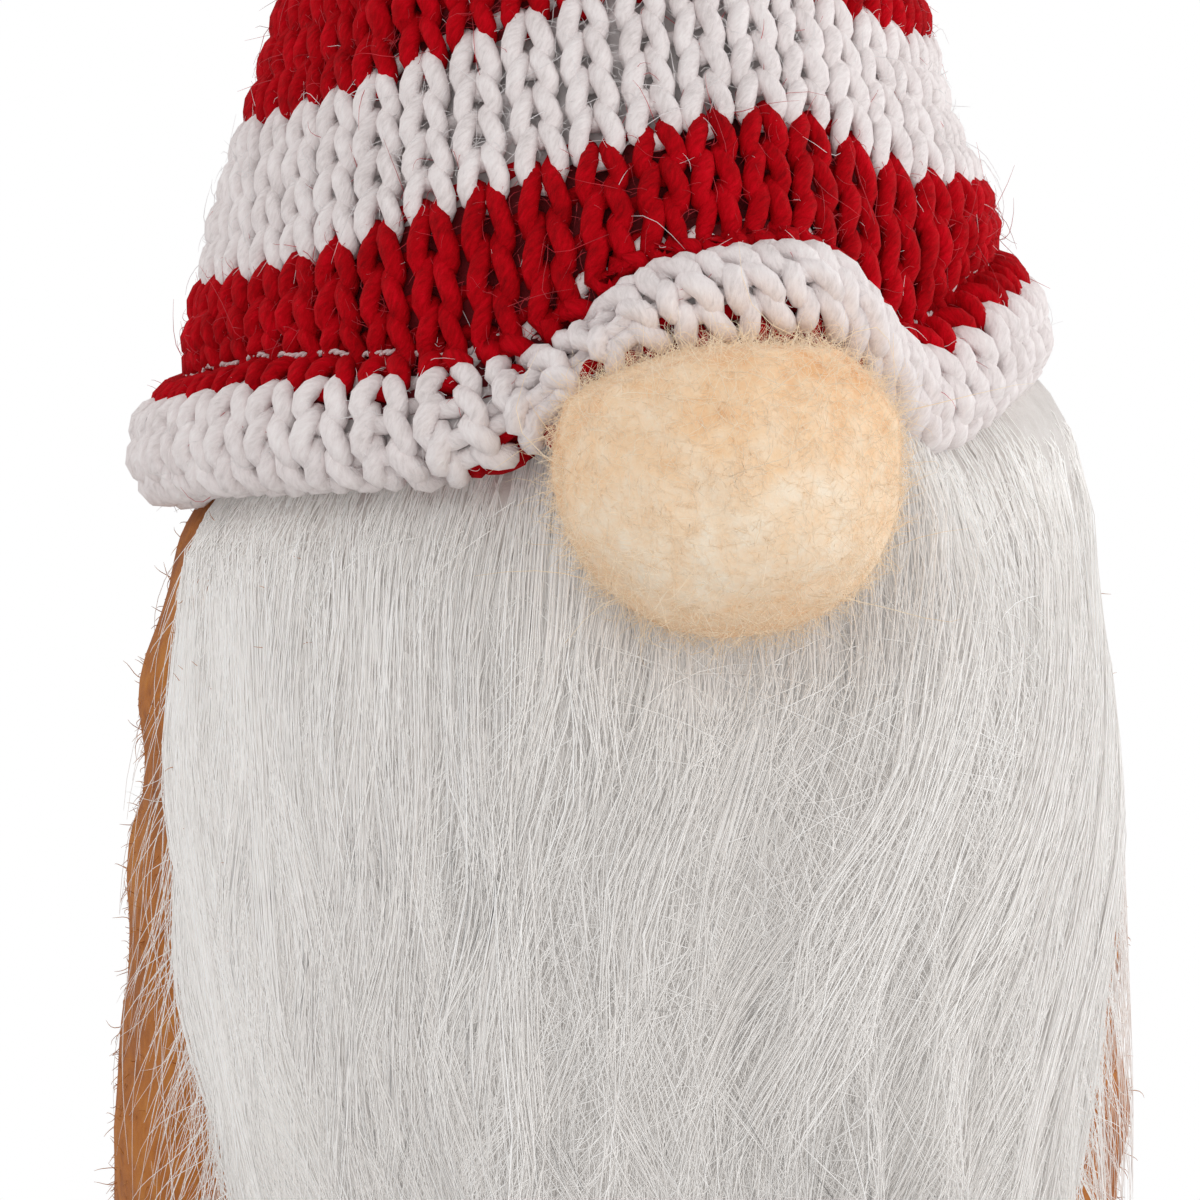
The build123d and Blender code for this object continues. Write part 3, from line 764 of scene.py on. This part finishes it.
def build_tip(top):
    """The last stitches, drawn together at the tip."""
    ends = 9
    y = (top + 0.2) * COURSE
    low = hat_point(np.array(0.0), np.array(y))[2] - 1.2
    t = np.linspace(0, 1, 16)
    way = 2 * math.pi * np.arange(ends)[:, None] / ends + 0.8 * t
    r = 1.15 * (1 - t ** 1.5) + 0.25
    z = np.broadcast_to(low + (HAT_TOP - low - 0.2) * t, way.shape)
    lines = np.stack([HAT_X + r * np.cos(way), HAT_Y + r * np.sin(way), z], -1)
    radius = np.full(way.shape, 0.5) * (1 - 0.35 * t ** 2)
    verts, quads, caps = tube_faces(lines, radius, 8)
    n, m = way.shape
    span = np.broadcast_to(np.stack([t[:-1], t[1:]], -1)[None], (n, m - 1, 2))
    uv = {"OFBake": tube_uv(n, m, 8, span), "Yarn": tube_uv(n, m, 8, span * 6)}
    material = WHITE_YARN if colour_of(y) == 1 else RED_YARN
    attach(make_piece("hat_tip", verts, quads, caps, uv, materials=[material]), "hat_top")


# ------------------------------------------------------------------ the body
BODY_OUTLINE = eased([(22.0, 0.0), (24.2, 4.0), (24.9, 14.0), (24.9, 28.0), (24.3, 42.0), (23.4, 50.0),
                      (22.4, 54.0), (20.5, 57.3), (17.9, 60.0), (16.0, 63.0), (14.6, 67.0), (11.6, 72.0),
                      (6.4, 76.0), (3.2, 78.0), (2.8, 79.3), (3.7, BODY_TOP)])
CLOTH_T = 1.2
BEARD_TOP = ([-12.0, -8.0, -5.0, -2.5, -0.5, 1.5, 4.0], [23.3, 22.9, 22.4, 21.8, 20.7, 18.6, 17.3])


def round_axis(angle, radius, z):
    """A point at an angle and distance from the figure's upright axis."""
    way, radius, z = np.broadcast_arrays(np.radians(angle), radius, z)
    return np.stack([radius * np.sin(way), -radius * np.cos(way), z], -1)


def body_radius(z):
    """The fleece cover's radius at a height."""
    return np.interp(z, *BODY_OUTLINE)


def settled_cover():
    """A cloth simulation of the fleece sleeve, filled out and held at its base, back seam and neck.

    The result is how far the cloth stands off its pattern, as a table by height and angle. The sleeve is
    simulated scale_up times its size, where the cloth settings are steady.
    """
    rows, turns, frames, scale_up = 64, 128, 20, 20.0
    z = np.linspace(0.0, 74.0, rows)
    angle = np.arange(turns) * 360.0 / turns - 180.0
    zz, aa = np.broadcast_arrays(z[:, None], angle[None])
    slack = 0.25 * waves(np.stack([aa / 26, zz / 8], -1), 1.3, 45)
    pattern = round_axis(aa, body_radius(zz) + slack, zz) * scale_up
    index, _, skin = sleeve_faces(rows, turns)
    sleeve = make_piece("sleeve_pattern", pattern.reshape(-1, 3), skin)
    held = sleeve.vertex_groups.new(name="held")
    held.add([int(i) for i in np.concatenate([index[0], index[-1], index[::3, 0]])], 1.0, "REPLACE")
    cloth = sleeve.modifiers.new("cloth", "CLOTH")
    settings = {"quality": 6, "mass": 0.3, "tension_stiffness": 12, "compression_stiffness": 12,
                "bending_stiffness": 0.35, "shrink_min": -0.05, "use_pressure": True,
                "uniform_pressure_force": 2.5, "vertex_group_mass": "held"}
    for key, value in settings.items():
        setattr(cloth.settings, key, value)
    cloth.settings.effector_weights.gravity = 0.0
    cloth.point_cache.frame_start = 1
    cloth.point_cache.frame_end = frames
    for step in range(1, frames + 1):
        bpy.context.scene.frame_set(step)
    settled = sleeve.evaluated_get(bpy.context.evaluated_depsgraph_get())
    place = read_table(settled.data, "co").reshape(rows, turns, 3) / MM / scale_up
    moved = np.linalg.norm(place[..., :2], axis=-1) - body_radius(zz)
    bpy.context.scene.frame_set(1)
    bpy.data.objects.remove(sleeve)
    moved = moved - moved.mean(axis=1, keepdims=True)
    return z, 0.7 * np.tanh(moved / 0.7)


SETTLED = settled_cover()


def cover_stands_off(angle, z):
    """The settled cover's distance off its pattern at any angle and height."""
    heights, moved = SETTLED
    rows, turns = moved.shape
    row = np.clip(z / heights[-1] * (rows - 1), 0, rows - 1.001)
    column = ((angle + 180.0) % 360.0) / 360.0 * turns
    i, j = np.floor(row).astype(int), np.floor(column).astype(int) % turns
    u, v = row - i, column - np.floor(column)
    k = (j + 1) % turns
    low = moved[i, j] * (1 - v) + moved[i, k] * v
    high = moved[i + 1, j] * (1 - v) + moved[i + 1, k] * v
    return low * (1 - u) + high * u


def body_surface(angle, z, inward=0.0):
    """The fleece cover: soft hollows, pleats gathered at the neck, puckers along the base seam."""
    angle, z = np.broadcast_arrays(np.asarray(angle, float), np.asarray(z, float))
    way = np.radians(angle)
    soft = waves(np.stack([np.sin(way) * 24, np.cos(way) * 24, z], -1), 20.0, 41)
    pleats = np.cos(13 * way + 0.9 * np.sin(3 * way)) * smooth(58, 74, z) * (1 - 0.55 * smooth(76, 80, z))
    puckers = np.cos(46 * way + 2 * np.sin(5 * way)) * np.exp(-z / 1.6)
    seam = np.exp(-(((angle + 360) % 360 - 180) / 2.2) ** 2) * (1 - smooth(56, 62, z))
    radius = body_radius(z)
    moved = (cover_stands_off(angle, z) + 0.1 * soft * smooth(0, 8, z) + 0.75 * pleats * radius / 14
             + 0.22 * puckers - 0.55 * seam)
    return round_axis(angle, np.maximum(radius + moved - inward, 0.7), z)


def build_body():
    """The ochre fleece cover and its nap."""
    z = np.concatenate([np.linspace(0.05, 4, 14), np.linspace(4.6, BODY_TOP - 0.1, 120)])
    turns = 240
    angle = np.arange(turns) * 360.0 / turns - 180.0
    zz, aa = np.broadcast_arrays(z[:, None], angle[None])
    outer, inner = body_surface(aa, zz), body_surface(aa, zz, CLOTH_T)
    verts = np.concatenate([outer.reshape(-1, 3), inner.reshape(-1, 3)])
    cover = make_piece("body_fleece", verts, shell_faces(len(z), turns), materials=[FLEECE])
    belongs(cover, "figure", "ochre_fleece", "body_cover")
    rng = np.random.default_rng(42)
    count = 13000
    at = rng.uniform(0.6, 68, count)
    way = rng.uniform(-180, 180, count)
    root = body_surface(way, at, 0.1)
    out = unit(root * [1, 1, 0])
    down = np.array([0, 0, -1.0])
    side = np.stack([-out[:, 1], out[:, 0], np.zeros(count)], -1)
    go = unit(out * rng.uniform(0.0, 0.25, (count, 1)) + down * rng.uniform(-0.3, 1.0, (count, 1))
              + side * rng.normal(0, 0.7, (count, 1)))
    line, thick = wisps(root, go, rng.uniform(0.4, 1.3, count), np.full(count, 0.026), 6, 0.25, 43)
    line[..., 2] = np.maximum(line[..., 2], 0.1)
    belongs(fibre_piece("body_fleece_nap", line, thick, FLEECE_FIBRE, 44), "figure", "ochre_fleece")


def ring_path(node, thread_r, wobble=0.1):
    """The centre line of a ring of thread, level or upright, where the CAD ring is."""
    low, high = box_mm(node)
    middle, half = (low + high) / 2, (high - low) / 2
    way = np.linspace(0, 2 * math.pi, 240)
    radius = half[0] - thread_r
    if half[1] < half[2]:
        around = [np.sin(way) * radius, wobble * np.sin(7 * way), np.cos(way) * radius]
    else:
        around = [np.sin(way) * radius, -np.cos(way) * radius, wobble * np.sin(7 * way)]
    return middle + np.stack(around, -1)


def build_threads():
    """Sewing threads of the body: base seam, back seam, neck tie and nose tie."""
    angle = np.linspace(-180, 180, 900)
    stitch = np.sin(np.radians(angle * 42))
    low, high = box_mm("base_seam_thread")
    radius = (high[0] - low[0]) / 2 - 0.35
    path = round_axis(angle, radius + 0.25 * stitch, (low[2] + high[2]) / 2 + 0.1 + 0.12 * stitch)
    base = twisted_cord("base_seam_stitching", path, 0.18, 0.9, OCHRE_THREAD)
    z = np.linspace(3.6, 56.4, 700)
    swing = np.sin(z * 2 * math.pi / 2.6)
    path = body_surface(180 + 1.6 * swing, z, -0.12)
    back = twisted_cord("body_seam_stitching", path, 0.18, 0.9, OCHRE_THREAD)
    neck = twisted_cord("neck_tie", ring_path("neck_tie_thread", 0.3), 0.28, 1.0, OCHRE_THREAD)
    nose = twisted_cord("nose_tie", ring_path("nose_tie_thread", 0.2), 0.18, 0.9, HEM_THREAD)
    belongs(base, "figure", "ochre_thread", "base_seam_thread")
    belongs(back, "figure", "ochre_thread", "body_seam_thread")
    belongs(neck, "figure", "ochre_thread", "neck_tie_thread")
    belongs(nose, "figure", "felt_thread", "nose_tie_thread")


def soft_copy(node, name, material, slot, grain, lumps, body="figure", fit=None):
    """A soft part made from its CAD solid: an even skin, with lumps and creases pushed into it."""
    obj = add_object(name, frame["nodes"][node].data.copy())
    remesh = obj.modifiers.new("skin", "REMESH")
    remesh.mode = "VOXEL"
    remesh.voxel_size = grain * MM
    remesh.use_smooth_shade = True
    evaluated = obj.evaluated_get(bpy.context.evaluated_depsgraph_get())
    mesh = bpy.data.meshes.new_from_object(evaluated)
    obj.modifiers.clear()
    obj.data = mesh
    place, normal = read_table(mesh, "co") / MM, read_table(mesh, "normal")
    push = lumps * (0.6 * (waves(place, grain * 9, 51) - 1.0) + 0.25 * (waves(place, grain * 4, 52) - 1.0))
    place = fit(place) if fit else place
    write_points(mesh, place + normal * push[:, None])
    mesh.materials.clear()
    mesh.materials.append(material)
    mesh.update()
    belongs(obj, body, slot, node)


def against_cover(place):
    """Points of the beard's backing, drawn in close against the fleece by the stitching."""
    radius = np.linalg.norm(place[:, :2], axis=1)
    cover = body_radius(place[:, 2])
    return place * np.stack([(cover + 0.25 * (radius - cover)) / radius] * 2 + [np.ones(len(place))], -1)


def build_fillings():
    """What is inside: felt base panel, weight pouch and sand, and the polyester stuffing."""
    soft_copy("base_panel", "base_felt", FLEECE, "ochre_fleece", 0.45, 0.06)
    soft_copy("weight_pouch", "weight_bag", COTTON, "cotton", 0.4, 0.06)
    soft_copy("weight_fill", "weight_sand", SAND, "sand", 0.7, 0.15)
    soft_copy("body_stuffing", "body_wadding", FILL, "stuffing", 0.9, 0.5)
    soft_copy("nose_stuffing", "nose_wadding", FILL, "stuffing", 0.4, 0.2, fit=inside_nose)
    soft_copy("hat_stuffing_lower", "hat_wadding_lower", FILL, "stuffing", 0.8, 0.35)
    soft_copy("hat_stuffing_upper", "hat_wadding_upper", FILL, "stuffing", 0.45, 0.15, "hat_top")
    soft_copy("beard_backing", "beard_fabric", BEARD_UNDER_SHADED, "beard_backing", 0.4, 0.04, fit=against_cover)


# ------------------------------------------------------------------ the beard
# the beard's two edges: heights, and the angle round the figure at each
BEARD_LEFT = ([1.0, 12.0, 22.0, 27.0, 37.0, 47.0, 56.0, 64.0],
              [-4.0, -33.0, -53.0, -58.0, -66.0, -75.0, -84.0, -89.0])
BEARD_RIGHT = ([1.0, 12.0, 22.0, 30.0, 37.0, 45.0, 54.0, 64.0],
               [2.0, 22.0, 35.0, 41.0, 53.0, 76.0, 96.0, 106.0])
BEARD_LOW = 2.0


def beard_base(angle, z):
    """The beard's innermost layer: on the body, and out under the brim's roll at the top."""
    below_brim = z - (brim_height(angle) - 2.2)
    top = np.interp(below_brim, *BEARD_TOP)
    near = smooth(-14, -6, below_brim)
    return 0.42 + near * top + (1 - near) * body_radius(z)


def beard_depth(angle, z):
    """How thick the beard is: thin at the sides, full in front, flat behind the nose, parted below it."""
    front = np.maximum(np.cos(np.radians(angle - 4)), 0) ** 4
    base = 0.35 + 4.1 * front * smooth(-2, 14, z) * (0.55 + 0.45 * smooth(66, 50, z))
    way = np.radians(angle)
    near_nose = ((24 * np.sin(way) - NOSE[0]) ** 2 + (z - NOSE[2]) ** 2) / 7.4 ** 2
    parting = np.exp(-((angle + 1) / 4) ** 2) * smooth(24, 38, z) * smooth(56, 50, z)
    locks = waves(np.stack([angle / 7, z / 22], -1), 1.4, 66) * smooth(48, 20, z) * front
    return (base * (1 - 0.85 * np.exp(-near_nose ** 2)) * (1 - 0.4 * parting)
            * (1 + 0.22 * np.clip(locks, -1.5, 1.5)))


def edge_angle(edge, z):
    """The angle of one edge of the beard at a height, with the corners of its outline rounded off."""
    return sum(np.interp(z + d, *edge) for d in (-7, -3.5, 0, 3.5, 7)) / 5


def beard_point(across, layer, z, sideways):
    """A point of the beard: across runs -1 to 1 between its edges, layer 0 to 1 from the body out."""
    left, right = edge_angle(BEARD_LEFT, z), edge_angle(BEARD_RIGHT, z)
    angle = (left + right) / 2 + across * (right - left) / 2 + np.degrees(sideways / 24)
    radius = beard_base(angle, z) + layer * beard_depth(angle, z)
    return round_axis(angle, radius, z)


def beard_fibres(name, count, seed, layers, roots, ends, stray, thick, steps=12):
    """Combed fibres in clumps. roots and ends are height ranges, stray is how far they wander."""
    rng = np.random.default_rng(seed)
    clumps = max(count // 45, 1)
    home = rng.uniform(-1, 1, clumps)
    clump_layer = rng.uniform(*layers, clumps)
    clump_end = rng.uniform(*ends, clumps)
    wave = rng.uniform(0, 2 * math.pi, (3, clumps))
    sway = rng.normal(0, 1, (3, clumps)) * stray
    member = rng.integers(0, clumps, count)
    own = rng.normal(0, 1, (4, count))
    start = rng.uniform(*roots, count)
    finish = np.clip(clump_end[member] + own[0] * 5.0, BEARD_LOW - 1.0, start - 10)
    t = np.linspace(0, 1, steps)[None]
    z = start[:, None] + (finish - start)[:, None] * t
    grow = 0.25 + 0.75 * t
    m = member
    broad = sway[0][m, None] * np.sin(z * 2 * math.pi / 23 + wave[0][m, None]) * 1.1
    small = sway[1][m, None] * np.sin(z * 2 * math.pi / 11 + wave[1][m, None]) * 0.55
    sideways = ((broad + small) * (0.1 + 1.1 * t)
                + sway[2][m, None] * 2.0 * t ** 2
                + own[1][:, None] * 0.85 * (1 - 0.72 * t ** 0.7)
                + own[2][:, None] * 0.16 * np.sin(z * 2 * math.pi / 7 + own[3][:, None] * 3) * grow)
    across = home[m, None] + 0 * t
    layer = np.clip(clump_layer[m, None] + 0.1 * own[3][:, None]
                    + 0.08 * sway[2][m, None] * np.sin(z / 3.5 + wave[2][m, None]), 0, 1.15)
    layer = layer * smooth(-0.02, 0.2, t)
    line = beard_point(across, layer, z, sideways)
    radius = thick * (0.75 + 0.5 * rng.uniform(0, 1, (count, 1))) * (1 - 0.65 * smooth(0.55, 1.0, t))
    belongs(fibre_piece(name, line, radius * np.ones_like(z), BEARD, seed + 1), "figure", "beard_fibre")


def loose_wisps(name, count, seed, place, lengths, curl, thick=0.026):
    """Stray beard fibres. place gives (across, layer, height) for random numbers of shape (3, count)."""
    rng = np.random.default_rng(seed)
    across, layer, z = place(rng.uniform(0, 1, (3, count)))
    root = beard_point(across, layer, z, np.zeros(count))
    out = unit(root * [1, 1, 0])
    side = np.stack([-out[:, 1], out[:, 0], 0 * z], -1)
    down = np.array([0, 0, -1.0])
    way = unit(down + side * rng.normal(0, 0.55, (count, 1)) + out * rng.uniform(-0.05, 0.3, (count, 1)))
    line, radius = wisps(root, way, rng.uniform(*lengths, count), np.full(count, thick), 12, curl, seed + 1)
    flat = np.linalg.norm(line[..., :2], axis=-1, keepdims=True)
    angle = np.degrees(np.arctan2(line[..., 0], -line[..., 1]))
    least = body_radius(line[..., 2])[..., None] + 0.3
    most = (beard_base(angle, line[..., 2]) + 1.1 * beard_depth(angle, line[..., 2]) - 0.2)[..., None]
    line[..., :2] *= np.clip(flat, least, np.maximum(most, least)) / flat
    line[..., 2] = np.maximum(line[..., 2], 0.3)
    belongs(fibre_piece(name, line, radius, BEARD, seed + 2), "figure", "beard_fibre")


def build_beard_mass():
    """The combed mass of fibres near the body, as one closed piece with furrows down it, greyer than the
    fibres over it as painted shade in the gaps between them.
    """
    rows, turns = np.linspace(BEARD_LOW + 3.0, 63.0, 90), 220
    share = np.linspace(-0.9, 0.9, turns)
    across, z = np.broadcast_arrays(share[None], rows[:, None])
    edge = smooth(1.0, 0.8, np.abs(across)) * smooth(BEARD_LOW + 2, BEARD_LOW + 12, z)
    combed = (waves(np.stack([across * 30, z / 14], -1), 1.1, 61)
              + 0.6 * waves(np.stack([across * 75, z / 12], -1), 1.1, 62))
    outer = beard_point(across, (0.34 + 0.09 * combed) * edge, z, 0.0)
    inner = beard_point(across, np.full_like(z, -0.04), z, 0.0)
    verts = np.concatenate([outer.reshape(-1, 3), inner.reshape(-1, 3)])
    n = len(rows)
    index = np.arange(n * turns).reshape(n, turns)
    skin = np.stack([index[:-1, :-1], index[:-1, 1:], index[1:, 1:], index[1:, :-1]], -1).reshape(-1, 4)
    rim = np.concatenate([index[0, :], index[1:, -1], index[-1, -2::-1], index[-2:0:-1, 0]])
    after = np.roll(rim, -1)
    wall = np.stack([after, rim, rim + n * turns, after + n * turns], -1)
    faces = np.concatenate([skin, skin[:, ::-1] + n * turns, wall])
    mass = make_piece("beard_mass", verts, faces, materials=[BEARD_UNDER_SHADED])
    belongs(mass, "figure", "beard_fibre", "beard_pile")


def build_beard():
    """The beard: a combed mass near the body, layers of fibres over it, and strays over the top."""
    build_beard_mass()
    many = 1.0
    for k in range(7):
        deep = 0.14 + 0.12 * k
        beard_fibres(f"beard_layer_{k + 1}", int(2900 * many), 700 + 10 * k, (deep, deep + 0.18),
                     (44 + 2 * k, 64.5), (3.0, 14.0 + 2 * k), 0.62 + 0.08 * k, 0.031)
    loose_wisps("beard_wisps_under_nose", int(2400 * many), 760,
                lambda r: (r[0] * 0.8 - 0.4, 0.5 + 0.6 * r[1], 24 + 30 * r[2]), (5.0, 17.0), 0.5)
    loose_wisps("beard_wisps_all_over", int(2600 * many), 770,
                lambda r: (r[0] * 1.9 - 0.95, 0.7 + 0.4 * r[1], 8 + 52 * r[2] ** 1.3), (8.0, 24.0), 0.3)
    loose_wisps("beard_wisps_left", int(420 * many), 780,
                lambda r: (-1.0 + 0.14 * r[0], 0.3 + 0.6 * r[1], 12 + 34 * r[2]), (6.0, 17.0), 0.4, 0.022)
    loose_wisps("beard_wisps_right", int(420 * many), 790,
                lambda r: (1.0 - 0.14 * r[0], 0.3 + 0.6 * r[1], 12 + 32 * r[2]), (6.0, 17.0), 0.4, 0.022)


# ------------------------------------------------------------------ the nose
NOSE_SHIFT = np.array([-0.95, 1.5, 1.2])  # the soft ball is squeezed in closer, under the brim


def nose_shape(way):
    """The felt ball by direction from its middle: a little angular, flat at the back and under the brim."""
    radius = NOSE_R + 0.05 + 0.16 * waves(way, 1.3, 81) + 0.06 * waves(way, 0.45, 82)
    point = way * radius[:, None] * [1.02, 1.0, 0.98]
    point[:, 2] *= np.where(point[:, 2] > 0, 0.87, 1.0)
    back = point[:, 1]
    point[:, 1] = np.where(back > 0, 3.0 * np.tanh(back / 3.6), back)
    pressed = 5.3 - 0.1 * np.maximum(-point[:, 0], 0) ** 1.6
    point[:, 2] -= 0.85 * np.maximum(point[:, 2] - pressed, 0)
    return NOSE + NOSE_SHIFT + point


def inside_nose(place):
    """Points of the nose's filling, moved to lie under the felt."""
    way = unit(place - NOSE)
    return nose_shape(way) - 1.2 * way


def build_nose():
    """The peach felt ball with its nap of short curling fibres and a few long ones."""
    mesh = bpy.data.meshes.new("nose_felt")
    made = bmesh.new()
    bmesh.ops.create_icosphere(made, subdivisions=6, radius=1.0)
    made.to_mesh(mesh)
    made.free()
    write_points(mesh, nose_shape(unit(read_table(mesh, "co").astype(float))))
    mesh.polygons.foreach_set("use_smooth", np.ones(len(mesh.polygons), bool))
    mesh.materials.append(FELT)
    mesh.update()
    belongs(add_object("nose_felt", mesh), "figure", "felt", "nose_cover")
    rng = np.random.default_rng(83)
    count = 12000
    way = unit(rng.normal(size=(count, 3)))
    way = way[way[:, 1] < 0.35]
    root = nose_shape(way)
    around = unit(np.cross(way, rng.normal(size=way.shape)))
    go = unit(way * rng.uniform(0.0, 0.4, (len(way), 1)) + around)
    long = np.arange(len(way)) % 300 == 0
    length = rng.uniform(0.4, 1.9, len(way)) + np.where(long, 4.5, 0)
    line, thick = wisps(root - 0.05 * way, go, length, np.where(long, 0.024, 0.014), 6, 0.6, 84)
    belongs(fibre_piece("nose_felt_nap", line, thick, FELT_FIBRE, 85), "figure", "felt")


def dress_hard_parts():
    """The CAD nodes that stay as they are: the base board, the glue and the wire."""
    for node, material in (("base_board", BOARD), ("beard_glue", GLUE), ("nose_glue", GLUE),
                           ("hat_glue", GLUE), ("hat_wire_lower", WIRE), ("hat_wire_upper", WIRE)):
        mesh = frame["nodes"][node].data
        mesh.materials.clear()
        mesh.materials.append(material)


# ------------------------------------------------------------------ camera, light and floor
FLOOR_R = 118.0
FLOOR_Z = -0.02  # just under the foot


def fade_to_white(tree, shader):
    """The floor runs out into the white round it."""
    place = add_node(tree, "ShaderNodeNewGeometry").outputs["Position"]
    away = add_node(tree, "ShaderNodeVectorMath", [place], {"operation": "LENGTH"}).outputs["Value"]
    share = add_node(tree, "ShaderNodeMapRange", settings={"interpolation_type": "SMOOTHSTEP"},
                     Value=away, From_Min=0.045, From_Max=0.115).outputs["Result"]
    clear = add_node(tree, "ShaderNodeBsdfTransparent").outputs[0]
    mixed = add_node(tree, "ShaderNodeMixShader", [share, shader.outputs[0], clear])
    tree.links.new(mixed.outputs[0], tree.nodes["Material Output"].inputs["Surface"])


def build_floor():
    """A pale round floor."""
    material, tree, shader = nodes_of("pale floor")
    mottle = noise_of(tree, coordinates(tree), Scale=3.0, Detail=3.0)
    colour = ramp(tree, mottle, [(0.3, (0.86, 0.86, 0.86)), (0.7, (0.9, 0.9, 0.9))])
    set_inputs(tree, shader, Base_Color=colour, Roughness=0.8)
    fade_to_white(tree, shader)
    turns = 96
    way = np.arange(turns) * 2 * math.pi / turns
    rings = [np.stack([r * np.cos(way), r * np.sin(way), np.full(turns, FLOOR_Z)], -1)
             for r in (0.001, 60.0, FLOOR_R)]
    quads = sleeve_faces(len(rings), turns)[2][:, ::-1]
    make_piece("floor", np.concatenate(rings), quads, materials=[material])


def build_studio():
    """White all round, brighter to the camera than as a light, and five soft lamps."""
    world = bpy.data.worlds.new("studio")
    world.use_nodes = True
    tree = world.node_tree
    seen = tree.nodes.new("ShaderNodeLightPath").outputs["Is Camera Ray"]
    strength = add_node(tree, "ShaderNodeMapRange", Value=seen, To_Min=0.5, To_Max=1.0)
    set_inputs(tree, tree.nodes["Background"], Color=(1, 1, 1, 1), Strength=strength.outputs["Result"])
    bpy.context.scene.world = world
    middle = Vector((0, 0, 0.065))
    for name, place, power, size_m in (
        ("key", (-0.35, -0.55, 0.5), 0.85, 0.35), ("fill", (0.42, -0.5, 0.12), 1.0, 0.4),
        ("low", (-0.1, -0.6, 0.03), 0.6, 0.35), ("back_left", (-0.5, 0.3, 0.3), 1.1, 0.4),
        ("back_right", (0.52, 0.12, 0.2), 1.5, 0.4),
    ):
        data = bpy.data.lights.new(name, "AREA")
        data.energy = power
        data.size = size_m
        lamp = add_object(name, data)
        lamp.location = place
        lamp.rotation_euler = (middle - Vector(place)).to_track_quat("-Z", "Y").to_euler()


def build_camera():
    """In front and a little to the left, close in on the brim, nose and beard."""
    data = bpy.data.cameras.new("camera")
    data.sensor_width = 36.0
    data.lens = 160.0
    data.clip_start = 0.01
    azimuth, elevation, distance = math.radians(-12.0), math.radians(3.0), 267.0
    across = np.array([math.cos(azimuth), math.sin(azimuth), 0.0])
    target = across * -1.1 + np.array([0.0, 0.0, 52.0])
    back = np.array([math.sin(azimuth) * math.cos(elevation), -math.cos(azimuth) * math.cos(elevation),
                     math.sin(elevation)])
    camera = add_object("camera", data)
    camera.location = Vector((target + back * distance) * MM)
    camera.rotation_euler = Vector(-back).to_track_quat("-Z", "Y").to_euler()
    bpy.context.scene.camera = camera
    bpy.context.scene.view_settings.view_transform = "Standard"


top_course = build_knit()
build_backing(top_course)
build_hat_fuzz(top_course)
build_hat_threads(top_course)
build_tip(top_course)
build_body()
build_threads()
build_fillings()
build_beard()
build_nose()
dress_hard_parts()
build_floor()
build_studio()
build_camera()
